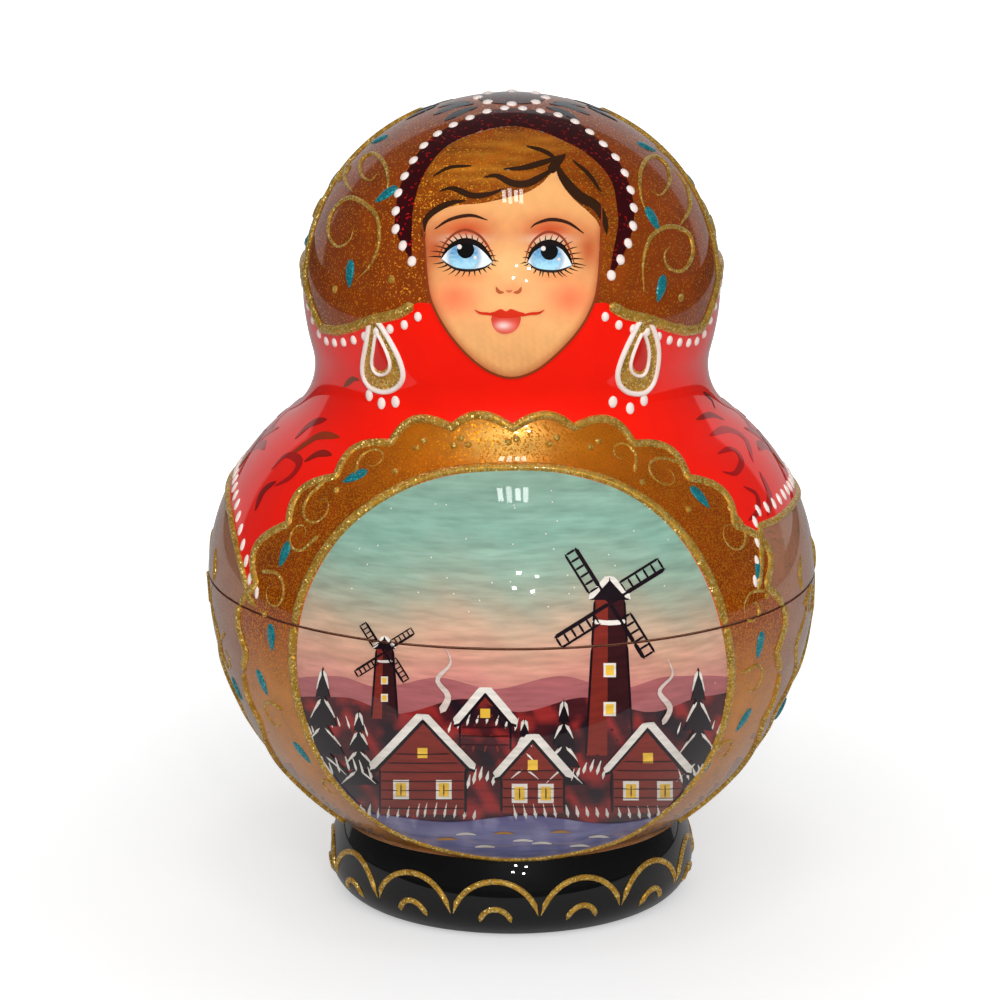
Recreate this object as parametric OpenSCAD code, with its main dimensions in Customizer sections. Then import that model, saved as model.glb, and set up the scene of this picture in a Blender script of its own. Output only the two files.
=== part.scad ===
// Matryoshka: a set of seven turned wooden dolls, each one standing in the hollow of the next larger.
// Six dolls are hollow and part at a stepped seam: the lower half carries a lip, and the upper half
// slips over it. The seventh and smallest is one solid piece.
// Every doll has the outline of the outer one at its own scale, and that scale follows from the hollow
// that the doll has to fit.

/* [Head] */
// Widest diameter of the head
head_d = 50.7; // [46:0.1:56]
// Rise from the head's widest ring to its top
crown_h = 22.3; // [20:0.1:25]
// Rise from the neck's narrowest ring to the head's widest ring
cheek_h = 10.5; // [9:0.1:12]

/* [Neck] */
// How far the neck is cut in from the head's widest ring
neck_cut = 1.45; // [1:0.05:2.5]
// Radius of the hollow at the neck
neck_fillet = 8.2; // [6:0.1:10]

/* [Body] */
// Widest diameter of the body
body_d = 74.4; // [68:0.1:82]
// Rise from the body's widest ring to the neck's narrowest ring
shoulder_h = 26.5; // [24:0.1:30]
// Rise from the waist to the body's widest ring
belly_h = 30.4; // [27:0.1:34]
// Diameter of the waist, where the belly meets the foot
waist_d = 41.1; // [38:0.1:44]

/* [Foot] */
// How far the foot stands out from the waist
foot_out = 1.9; // [1:0.1:3]
// Height of the foot
foot_h = 10.3; // [9:0.1:12]
// Radius of the rolled lower edge
foot_roll = 4.9; // [4:0.1:5.8]
// Radius of the flare above the rolled edge
foot_flare = 11.5; // [9:0.1:15]

/* [Seam] */
// Height of the seam above the body's widest ring
seam_rise = 0.7; // [0.2:0.1:2]
// Height of the lip that stands above the seam
lip_h = 5.5; // [4:0.1:7]
// Wall of the lip
lip_t = 1.8; // [1.4:0.1:2.4]
// Wall of the upper half at the seam, outside the lip
rim_t = 2.7; // [2.3:0.1:3.2]
// Radial clearance between the lip and the upper half
fit_gap = 0.08; // [0.04:0.01:0.1]
// Clearance above the end of the lip
lip_end_gap = 0.4; // [0.2:0.1:1]
// Chamfer on both outer edges of the seam
seam_edge = 0.15; // [0.05:0.05:0.3]

/* [Walls] */
// Wall of the belly and the shoulder
wall = 3; // [2.6:0.1:3.6]
// Wall of the neck at its narrowest ring
neck_wall = 4.2; // [3.8:0.1:5]
// Wall at the top of the head
crown_wall = 5; // [3.5:0.1:7]
// Height of the hollow's floor above the underside
floor_h = 9; // [8:0.1:10]
// Least depth of the socket that takes the next doll's foot
socket_h = 1; // [0.6:0.1:2]
// Thinnest wall on the small dolls
thinnest_wall = 1.2; // [1:0.1:1.4]
// Thinnest lip on the small dolls
thinnest_lip = 0.8; // [0.6:0.1:1]

/* [Nesting] */
// Clearance around a doll that stands in the outer doll
nest_gap = 0.8; // [0.5:0.1:1.5]
// Least such clearance on the small dolls
least_gap = 0.3; // [0.2:0.05:0.4]
// Room under the foot of a doll that stands in another
stand_gap = 0.02; // [0.01:0.01:0.1]

/* [Hidden] */
$fn = 128;
arc_step = 3;

NODES = [
    "outer_doll_bottom", "outer_doll_top",
    "second_doll_bottom", "second_doll_top",
    "third_doll_bottom", "third_doll_top",
    "fourth_doll_bottom", "fourth_doll_top",
    "fifth_doll_bottom", "fifth_doll_top",
    "sixth_doll_bottom", "sixth_doll_top",
    "seed_doll",
];

// Every doll but the solid one has two halves
doll_count = (len(NODES) + 1) / 2;

// Radii and heights of the outer doll's rings
head_r = head_d / 2;
neck_r = head_r - neck_cut;
body_r = body_d / 2;
waist_r = waist_d / 2;
foot_r = waist_r + foot_out;
body_z = foot_h + belly_h;
neck_z = body_z + shoulder_h;
head_z = neck_z + cheek_h;
doll_h = head_z + crown_h;
seam_z = body_z + seam_rise;

// Two arcs that leave two rings upright and meet between them: the sum of their radii, and their turn
function s_radii(out, up) = (out * out + up * up) / (2 * out);
function s_turn(out, up) = acos(1 - out / s_radii(out, up));

cheek_r = s_radii(neck_cut, cheek_h) - neck_fillet;
cheek_a = s_turn(neck_cut, cheek_h);
shoulder_r = s_radii(body_r - neck_r, shoulder_h) - neck_fillet;
shoulder_a = s_turn(body_r - neck_r, shoulder_h);
seam_a = asin(seam_rise / shoulder_r);
belly_a = acos(waist_r / body_r);
belly_depth = belly_h / sin(belly_a);
flare_a = asin((foot_h - foot_roll) / foot_flare);

cheek_c = [head_r - cheek_r, head_z];
neck_c = [neck_r + neck_fillet, neck_z];
shoulder_c = [body_r - shoulder_r, body_z];
flare_c = [foot_r - foot_flare, foot_roll];
roll_c = [foot_r - foot_roll, foot_roll];
seam_r = shoulder_c[0] + shoulder_r * cos(seam_a);

// Points along an oval arc of radii rx and rz from angle a0 towards a1, leaving out the last one
function oval(centre, rx, rz, a0, a1) =
    let (n = max(2, ceil(abs(a1 - a0) / arc_step)))
    [for (i = [0 : n - 1]) let (a = a0 + (a1 - a0) * i / n) centre + [rx * cos(a), rz * sin(a)]];
function arc(centre, r, a0, a1) = oval(centre, r, r, a0, a1);

// Outline of the upper half from the top of the head to the seam
function top_outline() = concat(
    oval([0, head_z], head_r, crown_h, 90, 0),
    arc(cheek_c, cheek_r, 0, -cheek_a),
    arc(neck_c, neck_fillet, 180 - cheek_a, 180 + shoulder_a),
    arc(shoulder_c, shoulder_r, shoulder_a, seam_a));

// Outline of the lower half from the seam to the middle of the underside
function bottom_outline() = concat(
    arc(shoulder_c, shoulder_r, seam_a, 0),
    oval([0, body_z], body_r, belly_depth, 0, -belly_a),
    [[waist_r, foot_h]],
    arc(flare_c, foot_flare, flare_a, 0),
    arc(roll_c, foot_roll, 0, -90),
    [[roll_c[0], 0], [0, 0]]);

// Walls and clearances of a doll at scale s
function wall_at(s) = max(thinnest_wall, wall * s);
function neck_wall_at(s) = max(thinnest_wall, neck_wall * s);
function crown_wall_at(s) = max(thinnest_wall, crown_wall * s);
function rim_at(s) = max(thinnest_wall, rim_t * s);
function lip_at(s) = max(thinnest_lip, lip_t * s);
function gap_at(s) = max(least_gap, nest_gap * s);

// Radii of the hollow in a doll at scale s
function lip_out(s) = seam_r * s - rim_at(s) - fit_gap;
function lip_in(s) = lip_out(s) - lip_at(s);
function neck_in(s) = neck_r * s - neck_wall_at(s);
function waist_in(s) = waist_r * s - wall_at(s);
function belly_in(s) = body_r * s - wall_at(s);
function belly_depth_in(s) = belly_depth * s - wall_at(s);

// Scale of the doll that fits the hollow of a doll at scale s
function inner_scale(s) = min(
    (neck_in(s) - gap_at(s)) / head_r,
    (lip_in(s) - gap_at(s)) / body_r,
    (waist_in(s) - gap_at(s)) / foot_r,
    ((doll_h - floor_h) * s - crown_wall_at(s) - gap_at(s)) / doll_h);

// Scale of the k-th doll, and the height of the floor that it stands on
function scale_of(k) = k <= 1 ? 1 : inner_scale(scale_of(k - 1));
function stand_of(k) = k <= 1 ? 0 : stand_of(k - 1) + floor_h * scale_of(k - 1) + stand_gap;

function scaled(points, s) = [for (p = points) p * s];

// Radius of the belly's hollow at height z in a doll at scale s
function belly_in_at(s, z) = belly_in(s) * sqrt(1 - pow((body_z * s - z) / belly_depth_in(s), 2));

// Section of the upper half, hollowed for the lip, the shoulder, the neck and the crown
function top_section(s) =
    let (edge = seam_edge * s,
         seat = seam_z * s,
         bore = lip_out(s) + fit_gap,
         ledge = seat + lip_h * s + lip_end_gap,
         in_c = shoulder_c * s,
         in_r = shoulder_r * s - wall_at(s),
         neck = neck_in(s),
         dome_c = [0, head_z * s],
         ledge_a = asin((ledge - in_c[1]) / in_r),
         neck_a = acos((neck - in_c[0]) / in_r))
    concat(
        scaled(top_outline(), s),
        [[seam_r * s, seat + edge],
         [seam_r * s - edge, seat],
         [bore, seat],
         [bore, ledge]],
        arc(in_c, in_r, ledge_a, neck_a),
        [[neck, in_c[1] + in_r * sin(neck_a)]],
        oval(dome_c, neck, crown_h * s - crown_wall_at(s), 0, 90),
        [[0, doll_h * s - crown_wall_at(s)]]);

// Section of the lower half, with its lip, its hollow and the socket for the next doll's foot
function bottom_section(s) =
    let (edge = seam_edge * s,
         seat = seam_z * s,
         lip_top = seat + lip_h * s,
         floor_z = floor_h * s,
         socket = max(foot_r * inner_scale(s) + gap_at(s), belly_in_at(s, floor_z + socket_h * s)),
         in_c = [0, body_z * s],
         in_r = belly_in(s),
         in_depth = belly_depth_in(s),
         lip_a = -acos(lip_in(s) / in_r),
         socket_a = -acos(socket / in_r))
    concat(
        [[0, floor_z], [socket, floor_z]],
        oval(in_c, in_r, in_depth, socket_a, lip_a),
        [[lip_in(s), in_c[1] + in_depth * sin(lip_a)],
         [lip_in(s), lip_top],
         [lip_out(s) - edge, lip_top],
         [lip_out(s), lip_top - edge],
         [lip_out(s), seat],
         [seam_r * s - edge, seat],
         [seam_r * s, seat - edge]],
        [for (p = scaled(bottom_outline(), s)) if (p[1] < seat - 2 * edge) p]);

module turned(points) {
    rotate_extrude() polygon(points);
}

module at_doll(k) {
    translate([0, 0, stand_of(k)]) children();
}

// Upper half of the k-th doll
module doll_top(k) {
    color("firebrick") at_doll(k) turned(top_section(scale_of(k)));
}

// Lower half of the k-th doll
module doll_bottom(k) {
    color("peru") at_doll(k) turned(bottom_section(scale_of(k)));
}

// The smallest doll, turned in one piece
module seed_doll() {
    color("firebrick") at_doll(doll_count)
        turned(scaled(concat(top_outline(), bottom_outline()), scale_of(doll_count)));
}

doll_bottom(1);  // outer_doll_bottom
doll_top(1);  // outer_doll_top
doll_bottom(2);  // second_doll_bottom
doll_top(2);  // second_doll_top
doll_bottom(3);  // third_doll_bottom
doll_top(3);  // third_doll_top
doll_bottom(4);  // fourth_doll_bottom
doll_top(4);  // fourth_doll_top
doll_bottom(5);  // fifth_doll_bottom
doll_top(5);  // fifth_doll_top
doll_bottom(6);  // sixth_doll_bottom
doll_top(6);  // sixth_doll_top
seed_doll();
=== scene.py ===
"""A lacquered matryoshka set: paint, ornament, raw wood and light around the CAD frame."""

import math

import bpy
import numpy as np
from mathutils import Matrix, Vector
from mathutils.geometry import delaunay_2d_cdt

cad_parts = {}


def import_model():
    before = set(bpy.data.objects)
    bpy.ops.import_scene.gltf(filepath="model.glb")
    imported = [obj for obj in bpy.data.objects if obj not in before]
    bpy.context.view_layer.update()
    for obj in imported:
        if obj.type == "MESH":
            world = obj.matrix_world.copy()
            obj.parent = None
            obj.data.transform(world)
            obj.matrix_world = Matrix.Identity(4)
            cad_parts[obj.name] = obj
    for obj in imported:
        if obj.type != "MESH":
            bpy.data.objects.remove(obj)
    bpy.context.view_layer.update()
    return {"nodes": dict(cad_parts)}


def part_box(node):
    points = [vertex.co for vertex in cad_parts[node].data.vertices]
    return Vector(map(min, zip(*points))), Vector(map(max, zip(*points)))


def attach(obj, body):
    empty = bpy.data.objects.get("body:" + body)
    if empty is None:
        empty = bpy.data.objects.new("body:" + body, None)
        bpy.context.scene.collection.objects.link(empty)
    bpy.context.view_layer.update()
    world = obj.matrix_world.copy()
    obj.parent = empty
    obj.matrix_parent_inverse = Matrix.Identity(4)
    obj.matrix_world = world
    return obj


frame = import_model()

MM = 0.001
RNG = np.random.default_rng(7)

# Rings and rises of the outer doll in millimetres, as turned
HEAD_R = 25.35
CROWN_H = 22.3
CHEEK_H = 10.5
NECK_CUT = 1.45
NECK_FILLET = 8.2
BODY_R = 37.2
SHOULDER_H = 26.5
BELLY_H = 30.4
WAIST_R = 20.55
FOOT_OUT = 1.9
FOOT_H = 10.3
FOOT_ROLL = 4.9
FOOT_FLARE = 11.5
SEAM_RISE = 0.7

NECK_R = HEAD_R - NECK_CUT
FOOT_R = WAIST_R + FOOT_OUT
BODY_Z = FOOT_H + BELLY_H
NECK_Z = BODY_Z + SHOULDER_H
HEAD_Z = NECK_Z + CHEEK_H
DOLL_H = HEAD_Z + CROWN_H
SEAM_Z = BODY_Z + SEAM_RISE

# Paint in millimetres: the ground on the wood, flat paint over it, each further layer, and a brush stroke
SKIN = 0.05
FLAT = 0.04
LAYER = 0.018
FILM = 0.03
# How deep the edges of paint reach into the wood, and how far paint keeps from the seam
SINK = 0.12
SEAM_GAP = 0.16
# Strokes lower than this are shaded as the ground under them
SHADED_FLAT = 0.06
# Share of a stroke's width that is left at its tip
TIP = 0.08

# The photographer's view: camera height angle, distance and aim, in degrees and millimetres
VIEW_EL = 14.5
VIEW_D = 700.0
VIEW_Z = 50.0
VIEW_LENS = 205.5
VIEW_ASIDE = -1.41
VIEW_BELOW = -0.26


def srgb(r, g, b):
    """Linear colour of a display colour given from 0 to 255."""
    c = np.array([r, g, b], float) / 255
    return tuple(np.where(c <= 0.04045, c / 12.92, ((c + 0.055) / 1.055) ** 2.4))


# Colours
RED = srgb(254, 22, 1)
OCHRE = srgb(138, 57, 3)
RING_GOLD = srgb(166, 70, 2)
HAIR = srgb(142, 62, 3)
HAIR_DARK = srgb(52, 28, 12)
MAROON = srgb(52, 1, 6)
TAUPE = srgb(176, 118, 90)
TEAL = srgb(12, 120, 132)
NAVY = srgb(34, 40, 48)
ENAMEL = srgb(250, 234, 226)
GOLD = srgb(198, 148, 54)
BLACK = srgb(9, 9, 10)
LIP = srgb(222, 46, 18)


# Points of the outline for each degree of an arc
OUTLINE_STEPS = 2


def oval(centre, rx, rz, a0, a1, hollow=False):
    """Rows of radius, height and facing along an oval arc of the outline, in degrees."""
    a = np.radians(np.linspace(a0, a1, max(3, int(abs(a1 - a0) * OUTLINE_STEPS))))
    sign = -1 if hollow else 1
    facing = np.arctan2(sign * np.sin(a) / rz, sign * np.cos(a) / rx)
    return np.c_[centre[0] + rx * np.cos(a), centre[1] + rz * np.sin(a), facing]


def s_curve(out, up):
    """Two arcs that leave two rings upright: the sum of their radii, and their turn in degrees."""
    radii = (out * out + up * up) / (2 * out)
    return radii, math.degrees(math.acos(1 - out / radii))


class Turned:
    """A turned surface: radius and facing by height, with azimuth 0 at the front."""

    def __init__(self, *arcs):
        rows = np.vstack(arcs)[::-1]
        self.r, self.z, self.facing = rows.T
        run = np.hypot(np.diff(self.r), np.diff(self.z))
        self.run = np.concatenate([[0], np.cumsum(run)])

    def radius(self, z):
        return np.interp(z, self.z, self.r)

    def tilt(self, z):
        return np.interp(z, self.z, self.facing)

    def height(self, run):
        """Height at a length along the outline from its lower end."""
        return np.interp(run, self.run, self.z)

    def length(self, z):
        return np.interp(z, self.z, self.run)

    def point(self, az, z, lift=0.0):
        z = np.clip(z, self.z[0], self.z[-1])
        r = self.radius(z) + lift * np.cos(self.tilt(z))
        return np.stack([r * np.sin(az), -r * np.cos(az), z + lift * np.sin(self.tilt(z))], -1)

    def normal(self, az, z):
        t = self.tilt(z)
        return np.stack([np.cos(t) * np.sin(az), -np.cos(t) * np.cos(az), np.sin(t) + 0 * az], -1)


CHEEKS, CHEEK_A = s_curve(NECK_CUT, CHEEK_H)
SHOULDERS, SHOULDER_A = s_curve(BODY_R - NECK_R, SHOULDER_H)
CHEEK_R = CHEEKS - NECK_FILLET
SHOULDER_R = SHOULDERS - NECK_FILLET
BELLY_A = math.degrees(math.acos(WAIST_R / BODY_R))
BELLY_DEPTH = BELLY_H / math.sin(math.radians(BELLY_A))
FLARE_A = math.degrees(math.asin((FOOT_H - FOOT_ROLL) / FOOT_FLARE))

BODY = Turned(
    oval((0, HEAD_Z), HEAD_R, CROWN_H, 90, 0),
    oval((HEAD_R - CHEEK_R, HEAD_Z), CHEEK_R, CHEEK_R, 0, -CHEEK_A),
    oval((NECK_R + NECK_FILLET, NECK_Z), NECK_FILLET, NECK_FILLET, 180 - CHEEK_A, 180 + SHOULDER_A, True),
    oval((BODY_R - SHOULDER_R, BODY_Z), SHOULDER_R, SHOULDER_R, SHOULDER_A, 0),
    oval((0, BODY_Z), BODY_R, BELLY_DEPTH, 0, -BELLY_A))
FOOT = Turned(
    oval((FOOT_R - FOOT_FLARE, FOOT_ROLL), FOOT_FLARE, FOOT_FLARE, FLARE_A, 0),
    oval((FOOT_R - FOOT_ROLL, FOOT_ROLL), FOOT_ROLL, FOOT_ROLL, 0, -90))

ELEVATION = math.radians(VIEW_EL)
EYE = np.array([0, -VIEW_D * math.cos(ELEVATION), VIEW_Z + VIEW_D * math.sin(ELEVATION)])
FORWARD = np.array([0, math.cos(ELEVATION), -math.sin(ELEVATION)])
RIGHT = np.array([1.0, 0, 0])
UP = np.array([0, math.sin(ELEVATION), math.cos(ELEVATION)])

# The search for the surface along a line of sight: millimetres before and behind the doll's middle, places
# tried, and halvings after that
SEARCH = 45
SEARCH_STEPS = 121
HALVINGS = 24


def cast(view):
    """Azimuth and height where points of the front view, in millimetres, fall on the doll."""
    v = np.atleast_2d(np.asarray(view, float))
    ray = FORWARD * VIEW_D + v[:, :1] * RIGHT + v[:, 1:] * UP

    def outside(p):
        return np.hypot(p[..., 0], p[..., 1]) - np.where(p[..., 2] > DOLL_H, -1, BODY.radius(p[..., 2]))

    depth = np.linspace(1 - SEARCH / VIEW_D, 1 + SEARCH / VIEW_D, SEARCH_STEPS)
    gap = outside(EYE + ray[:, None, :] * depth[None, :, None])
    hit = (gap < 0).any(1)
    first = np.where(hit, (gap < 0).argmax(1), gap.argmin(1))
    far = depth[first]
    near = np.where(hit, depth[np.maximum(first - 1, 0)], far)
    for _ in range(HALVINGS):
        mid = (near + far) / 2
        inside = outside(EYE + ray * mid[:, None]) < 0
        far = np.where(inside, mid, far)
        near = np.where(inside, near, mid)
    p = EYE + ray * far[:, None]
    return np.c_[np.arctan2(p[:, 0], -p[:, 1]), p[:, 2]]


def seen(points):
    """Front-view position of points on the doll."""
    d = points - EYE
    depth = d @ FORWARD / VIEW_D
    return np.c_[d @ RIGHT / depth, d @ UP / depth]


# Points of a smooth line between two given ones, before it is spaced
SPAN_STEPS = 12


def curve(points, step, closed=False):
    """A smooth line through the points, evenly spaced."""
    p = np.asarray(points, float)
    ends = (p[-1:], p[:2]) if closed else (2 * p[:1] - p[1:2], 2 * p[-1:] - p[-2:-1])
    p = np.vstack([ends[0], p, ends[1]])
    t = np.linspace(0, 1, SPAN_STEPS, endpoint=False)[:, None]
    spans = []
    for a, b, c, d in zip(p[:-3], p[1:-2], p[2:-1], p[3:]):
        bend, twist = 2 * a - 5 * b + 4 * c - d, 3 * b - a - 3 * c + d
        spans.append(0.5 * (2 * b + (c - a) * t + bend * t ** 2 + twist * t ** 3))
    return spaced(np.vstack(spans + [p[1:2] if closed else p[-2:-1]]), step, closed)


def spaced(line, step, closed=False):
    """Points at equal distances along a line."""
    length = np.concatenate([[0], np.cumsum(np.hypot(*np.diff(line, axis=0).T))])
    at = np.linspace(0, length[-1], max(4, int(round(length[-1] / step))) + 1)
    at = at[:-1] if closed else at
    return np.column_stack([np.interp(at, length, line[:, i]) for i in range(2)])


def straight(points, step):
    """A polygon's edges cut into short pieces, corners kept."""
    p = np.asarray(points, float)
    edges = [a + (b - a) * np.linspace(0, 1, max(1, int(np.hypot(*(b - a)) / step)) + 1)[:-1, None]
             for a, b in zip(p, np.roll(p, -1, axis=0))]
    return np.vstack(edges)


def within(points, loop):
    """Which points lie inside a closed loop."""
    x, y = points[:, 0][:, None], points[:, 1][:, None]
    a, b = loop, np.roll(loop, -1, axis=0)
    across = (a[:, 1] > y) != (b[:, 1] > y)
    slope = np.where(b[:, 1] == a[:, 1], 1e-9, b[:, 1] - a[:, 1])
    return (across & (x < (b[:, 0] - a[:, 0]) * (y - a[:, 1]) / slope + a[:, 0])).sum(1) % 2 == 1


def round_ends(run, length, width):
    """Share of a stroke's width along it, with round ends."""
    near = np.minimum(1, np.minimum(run, length - run) / max(width / 2, 1e-6))
    return np.maximum(TIP, np.sqrt(1 - (1 - near) ** 2))


def brush(run, length, width):
    """The same for a brush pressed down in the middle."""
    return np.maximum(TIP, np.clip(np.sin(np.pi * run / length), 0, 1) ** 0.6)


def comma(run, length, width):
    """The same for a brush lifted off towards the end."""
    return np.maximum(TIP, round_ends(run, 2 * length, width) * (1 - run / length) ** 0.7)


# Points for each turn of a curl, and the share of its radius that it loses
CURL_STEPS = 14
CURL_LOSS = 0.78


def spiral(radius, turns, start, hand=1, tail=0.0):
    """A curl about the origin, from its rim inwards, with a straight tail before the rim."""
    t = np.linspace(0, 1, int(CURL_STEPS * turns) + 2)
    a = math.radians(start) + hand * 2 * math.pi * turns * t
    r = radius * (1 - CURL_LOSS * t)
    line = np.c_[r * np.cos(a), r * np.sin(a)]
    if tail:
        away = np.array([math.sin(a[0]), -math.cos(a[0])]) * hand
        line = np.vstack([line[0] + away * tail, line])
    return line


def turned_by(points, degrees):
    """Points turned about the origin."""
    a = math.radians(degrees)
    m = np.array([[math.cos(a), -math.sin(a)], [math.sin(a), math.cos(a)]])
    return np.asarray(points, float) @ m.T


def beside(place, points):
    """Azimuths and heights of points given in millimetres right of and above a place on the doll."""
    az, z = place
    p = np.asarray(points, float)
    heights = BODY.height(BODY.length(z) + p[:, 1])
    return np.c_[az + p[:, 0] / np.maximum(BODY.radius(heights), 2.0), heights]


def quads(rows, columns, first=0):
    """Faces between rows of points that close into rings."""
    ids = first + np.arange(rows * columns).reshape(rows, columns)
    after = np.roll(ids, -1, axis=1)
    return np.stack([ids[:-1], ids[1:], after[1:], after[:-1]], -1).reshape(-1, 4).tolist()


def dome_faces(n):
    """Faces of a dome: a fan at its top and bands between its four rings."""
    return [(0, 1 + i, 1 + (i + 1) % n) for i in range(n)] + quads(4, n, 1)


# Rings of a dot and of another raised shape, as shares of its reach
DOT_RINGS = np.array([0.45, 0.8, 0.95, 1.0])
DOME_RINGS = np.array([0.4, 0.75, 0.93, 1.0])


def domed(rings, height, lift):
    """Heights of a dome's rings. The outermost sinks into the wood."""
    return lift + height * np.sqrt(1 - rings ** 2)[:, None] - SINK * (rings == 1)[:, None]


class Painting:
    """The paint on one doll: one mesh for each finish on each half."""

    def __init__(self, name, scale, stand, bodies):
        self.name, self.scale, self.stand, self.bodies = name, scale, stand, bodies
        self.coarse = 1 / scale ** 0.75
        self.parts = {}
        self.level = 0.0

    def over(self):
        """Height of a new layer of flat paint."""
        self.level += LAYER
        return SKIN + FLAT + self.level

    def add(self, finish, half, points, faces, normals=None, colour=None):
        """Adds points and faces to the mesh of one finish on one half."""
        part = self.parts.setdefault((finish, half), {"p": [], "n": [], "c": [], "f": [], "count": 0})
        flat = points.reshape(-1, 3)
        n = len(flat)
        colour = np.asarray(ENAMEL if colour is None else colour, float)
        part["p"].append(flat)
        part["n"].append(np.zeros((n, 3)) if normals is None else normals.reshape(-1, 3))
        part["c"].append(np.broadcast_to(colour, (n, 3)))
        part["f"] += [tuple(i + part["count"] for i in face) for face in faces]
        part["count"] += n

    def half_of(self, z):
        """Name of the half at a height."""
        return "whole" if len(self.bodies) == 1 else "top" if z > SEAM_Z else "bottom"

    def runs(self, path, surface):
        """A path cut where it crosses the seam."""
        if len(self.bodies) == 1 or surface is FOOT:
            return [("whole" if len(self.bodies) == 1 else "bottom", path)]
        above = path[:, 1] >= SEAM_Z
        pieces, piece = [], [path[0]]
        for a, b, up, up_next in zip(path[:-1], path[1:], above[:-1], above[1:]):
            if up != up_next:
                cut = a + (b - a) * (SEAM_Z - a[1]) / (b[1] - a[1])
                pieces.append((up, np.array(piece + [cut])))
                piece = [cut]
            piece.append(b)
        pieces.append((above[-1], np.array(piece)))
        out = []
        for up, run in pieces:
            if len(run) > 2:
                edge = SEAM_Z + SEAM_GAP if up else SEAM_Z - SEAM_GAP
                run[:, 1] = np.maximum(run[:, 1], edge) if up else np.minimum(run[:, 1], edge)
                out.append(("top" if up else "bottom", run))
        return out

    def stroke(self, finish, path, width, height, colour=None, taper=round_ends, surface=BODY, lift=SKIN,
               across=7):
        """A raised line along a path of azimuths and heights."""
        for half, run in self.runs(path, surface):
            p = surface.point(run[:, 0], run[:, 1])
            gap = np.linalg.norm(np.diff(p, axis=0), axis=1)
            keep = np.concatenate([[True], gap > 1e-4])
            run, p = run[keep], p[keep]
            if len(p) < 3:
                continue
            along = np.concatenate([[0], np.cumsum(np.linalg.norm(np.diff(p, axis=0), axis=1))])
            normal = surface.normal(run[:, 0], run[:, 1])
            side = np.cross(np.gradient(p, axis=0), normal)
            side /= np.linalg.norm(side, axis=1, keepdims=True) + 1e-12
            share = taper(along, along[-1], width)
            u = np.linspace(-1, 1, across)
            q = p[:, None, :] + side[:, None, :] * (0.5 * width * share[:, None] * u)[..., None]
            rise = lift + height * share[:, None] * np.sqrt(1 - u ** 2) - SINK * (np.abs(u) == 1)
            az, z = np.arctan2(q[..., 0], -q[..., 1]), q[..., 2]
            ids = np.arange(len(p) * across).reshape(len(p), across)
            corners = ids[:-1, :-1], ids[:-1, 1:], ids[1:, 1:], ids[1:, :-1]
            faces = np.stack(corners, -1).reshape(-1, 4).tolist()
            normals = surface.normal(az, z) if height < SHADED_FLAT else None
            self.add(finish, half, surface.point(az, z, rise), faces, normals, colour)

    def brushed(self, finish, view, width, colour=None, height=FILM, step=0.28, taper=brush, lift=SKIN):
        """A smooth stroke through points of the front view."""
        self.stroke(finish, cast(curve(view, step * self.coarse)), width, height, colour, taper, lift=lift)

    def dots(self, finish, spots, radius, height, stretch=1.0, lift=SKIN):
        """Domed dots at azimuths and heights."""
        around = 16 if self.scale > 0.5 else 10
        a = np.linspace(0, 2 * math.pi, around, endpoint=False)
        ring = np.c_[radius * np.cos(a), radius * stretch * np.sin(a)]
        for az, z in np.atleast_2d(spots):
            centre = BODY.point(az, z)
            normal = BODY.normal(az, z)
            right = np.array([math.cos(az), math.sin(az), 0])
            up = np.cross(normal, right)
            q = centre + (DOT_RINGS[:, None, None] * ring[None]) @ np.vstack([right, up])
            rise = domed(DOT_RINGS, height, lift)
            points = BODY.point(np.arctan2(q[..., 0], -q[..., 1]), q[..., 2], rise)
            points = np.vstack([BODY.point(az, z, lift + height)[None], points.reshape(-1, 3)])
            self.add(finish, self.half_of(z), points, dome_faces(around))

    def cap(self, finish, z):
        """A round of flat paint on the crown, down to a height."""
        n = 36
        az = np.linspace(-math.pi, math.pi, n, endpoint=False)
        levels = np.array([DOLL_H - 1e-3, z + 0.7 * (DOLL_H - z), z + 0.3 * (DOLL_H - z), z, z])
        lifts = np.array([1, 1, 1, 1, 0]) * self.over()
        spread, heights = np.meshgrid(az, levels)
        points = BODY.point(spread, heights, lifts[:, None])
        faces = quads(len(levels), n) + [tuple(range(n))]
        self.add(finish, self.half_of(z), points, faces, BODY.normal(spread, heights))

    def dome(self, finish, outline, height, colour=None, lift=SKIN):
        """A raised shape inside a closed path, highest along its middle."""
        centre = outline.mean(0)
        q = centre + DOME_RINGS[:, None, None] * (outline - centre)[None]
        points = BODY.point(q[..., 0], q[..., 1], domed(DOME_RINGS, height, lift)).reshape(-1, 3)
        points = np.vstack([BODY.point(centre[0], centre[1], lift + height)[None], points])
        n = len(outline)
        faces = dome_faces(n)
        corner = points[1:1 + n]
        if np.cross(corner[1] - corner[0], corner[2] - corner[0]) @ BODY.normal(*centre) < 0:
            faces = [tuple(f[::-1]) for f in faces]
        self.add(finish, self.half_of(centre[1]), points, faces, None, colour)

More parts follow.
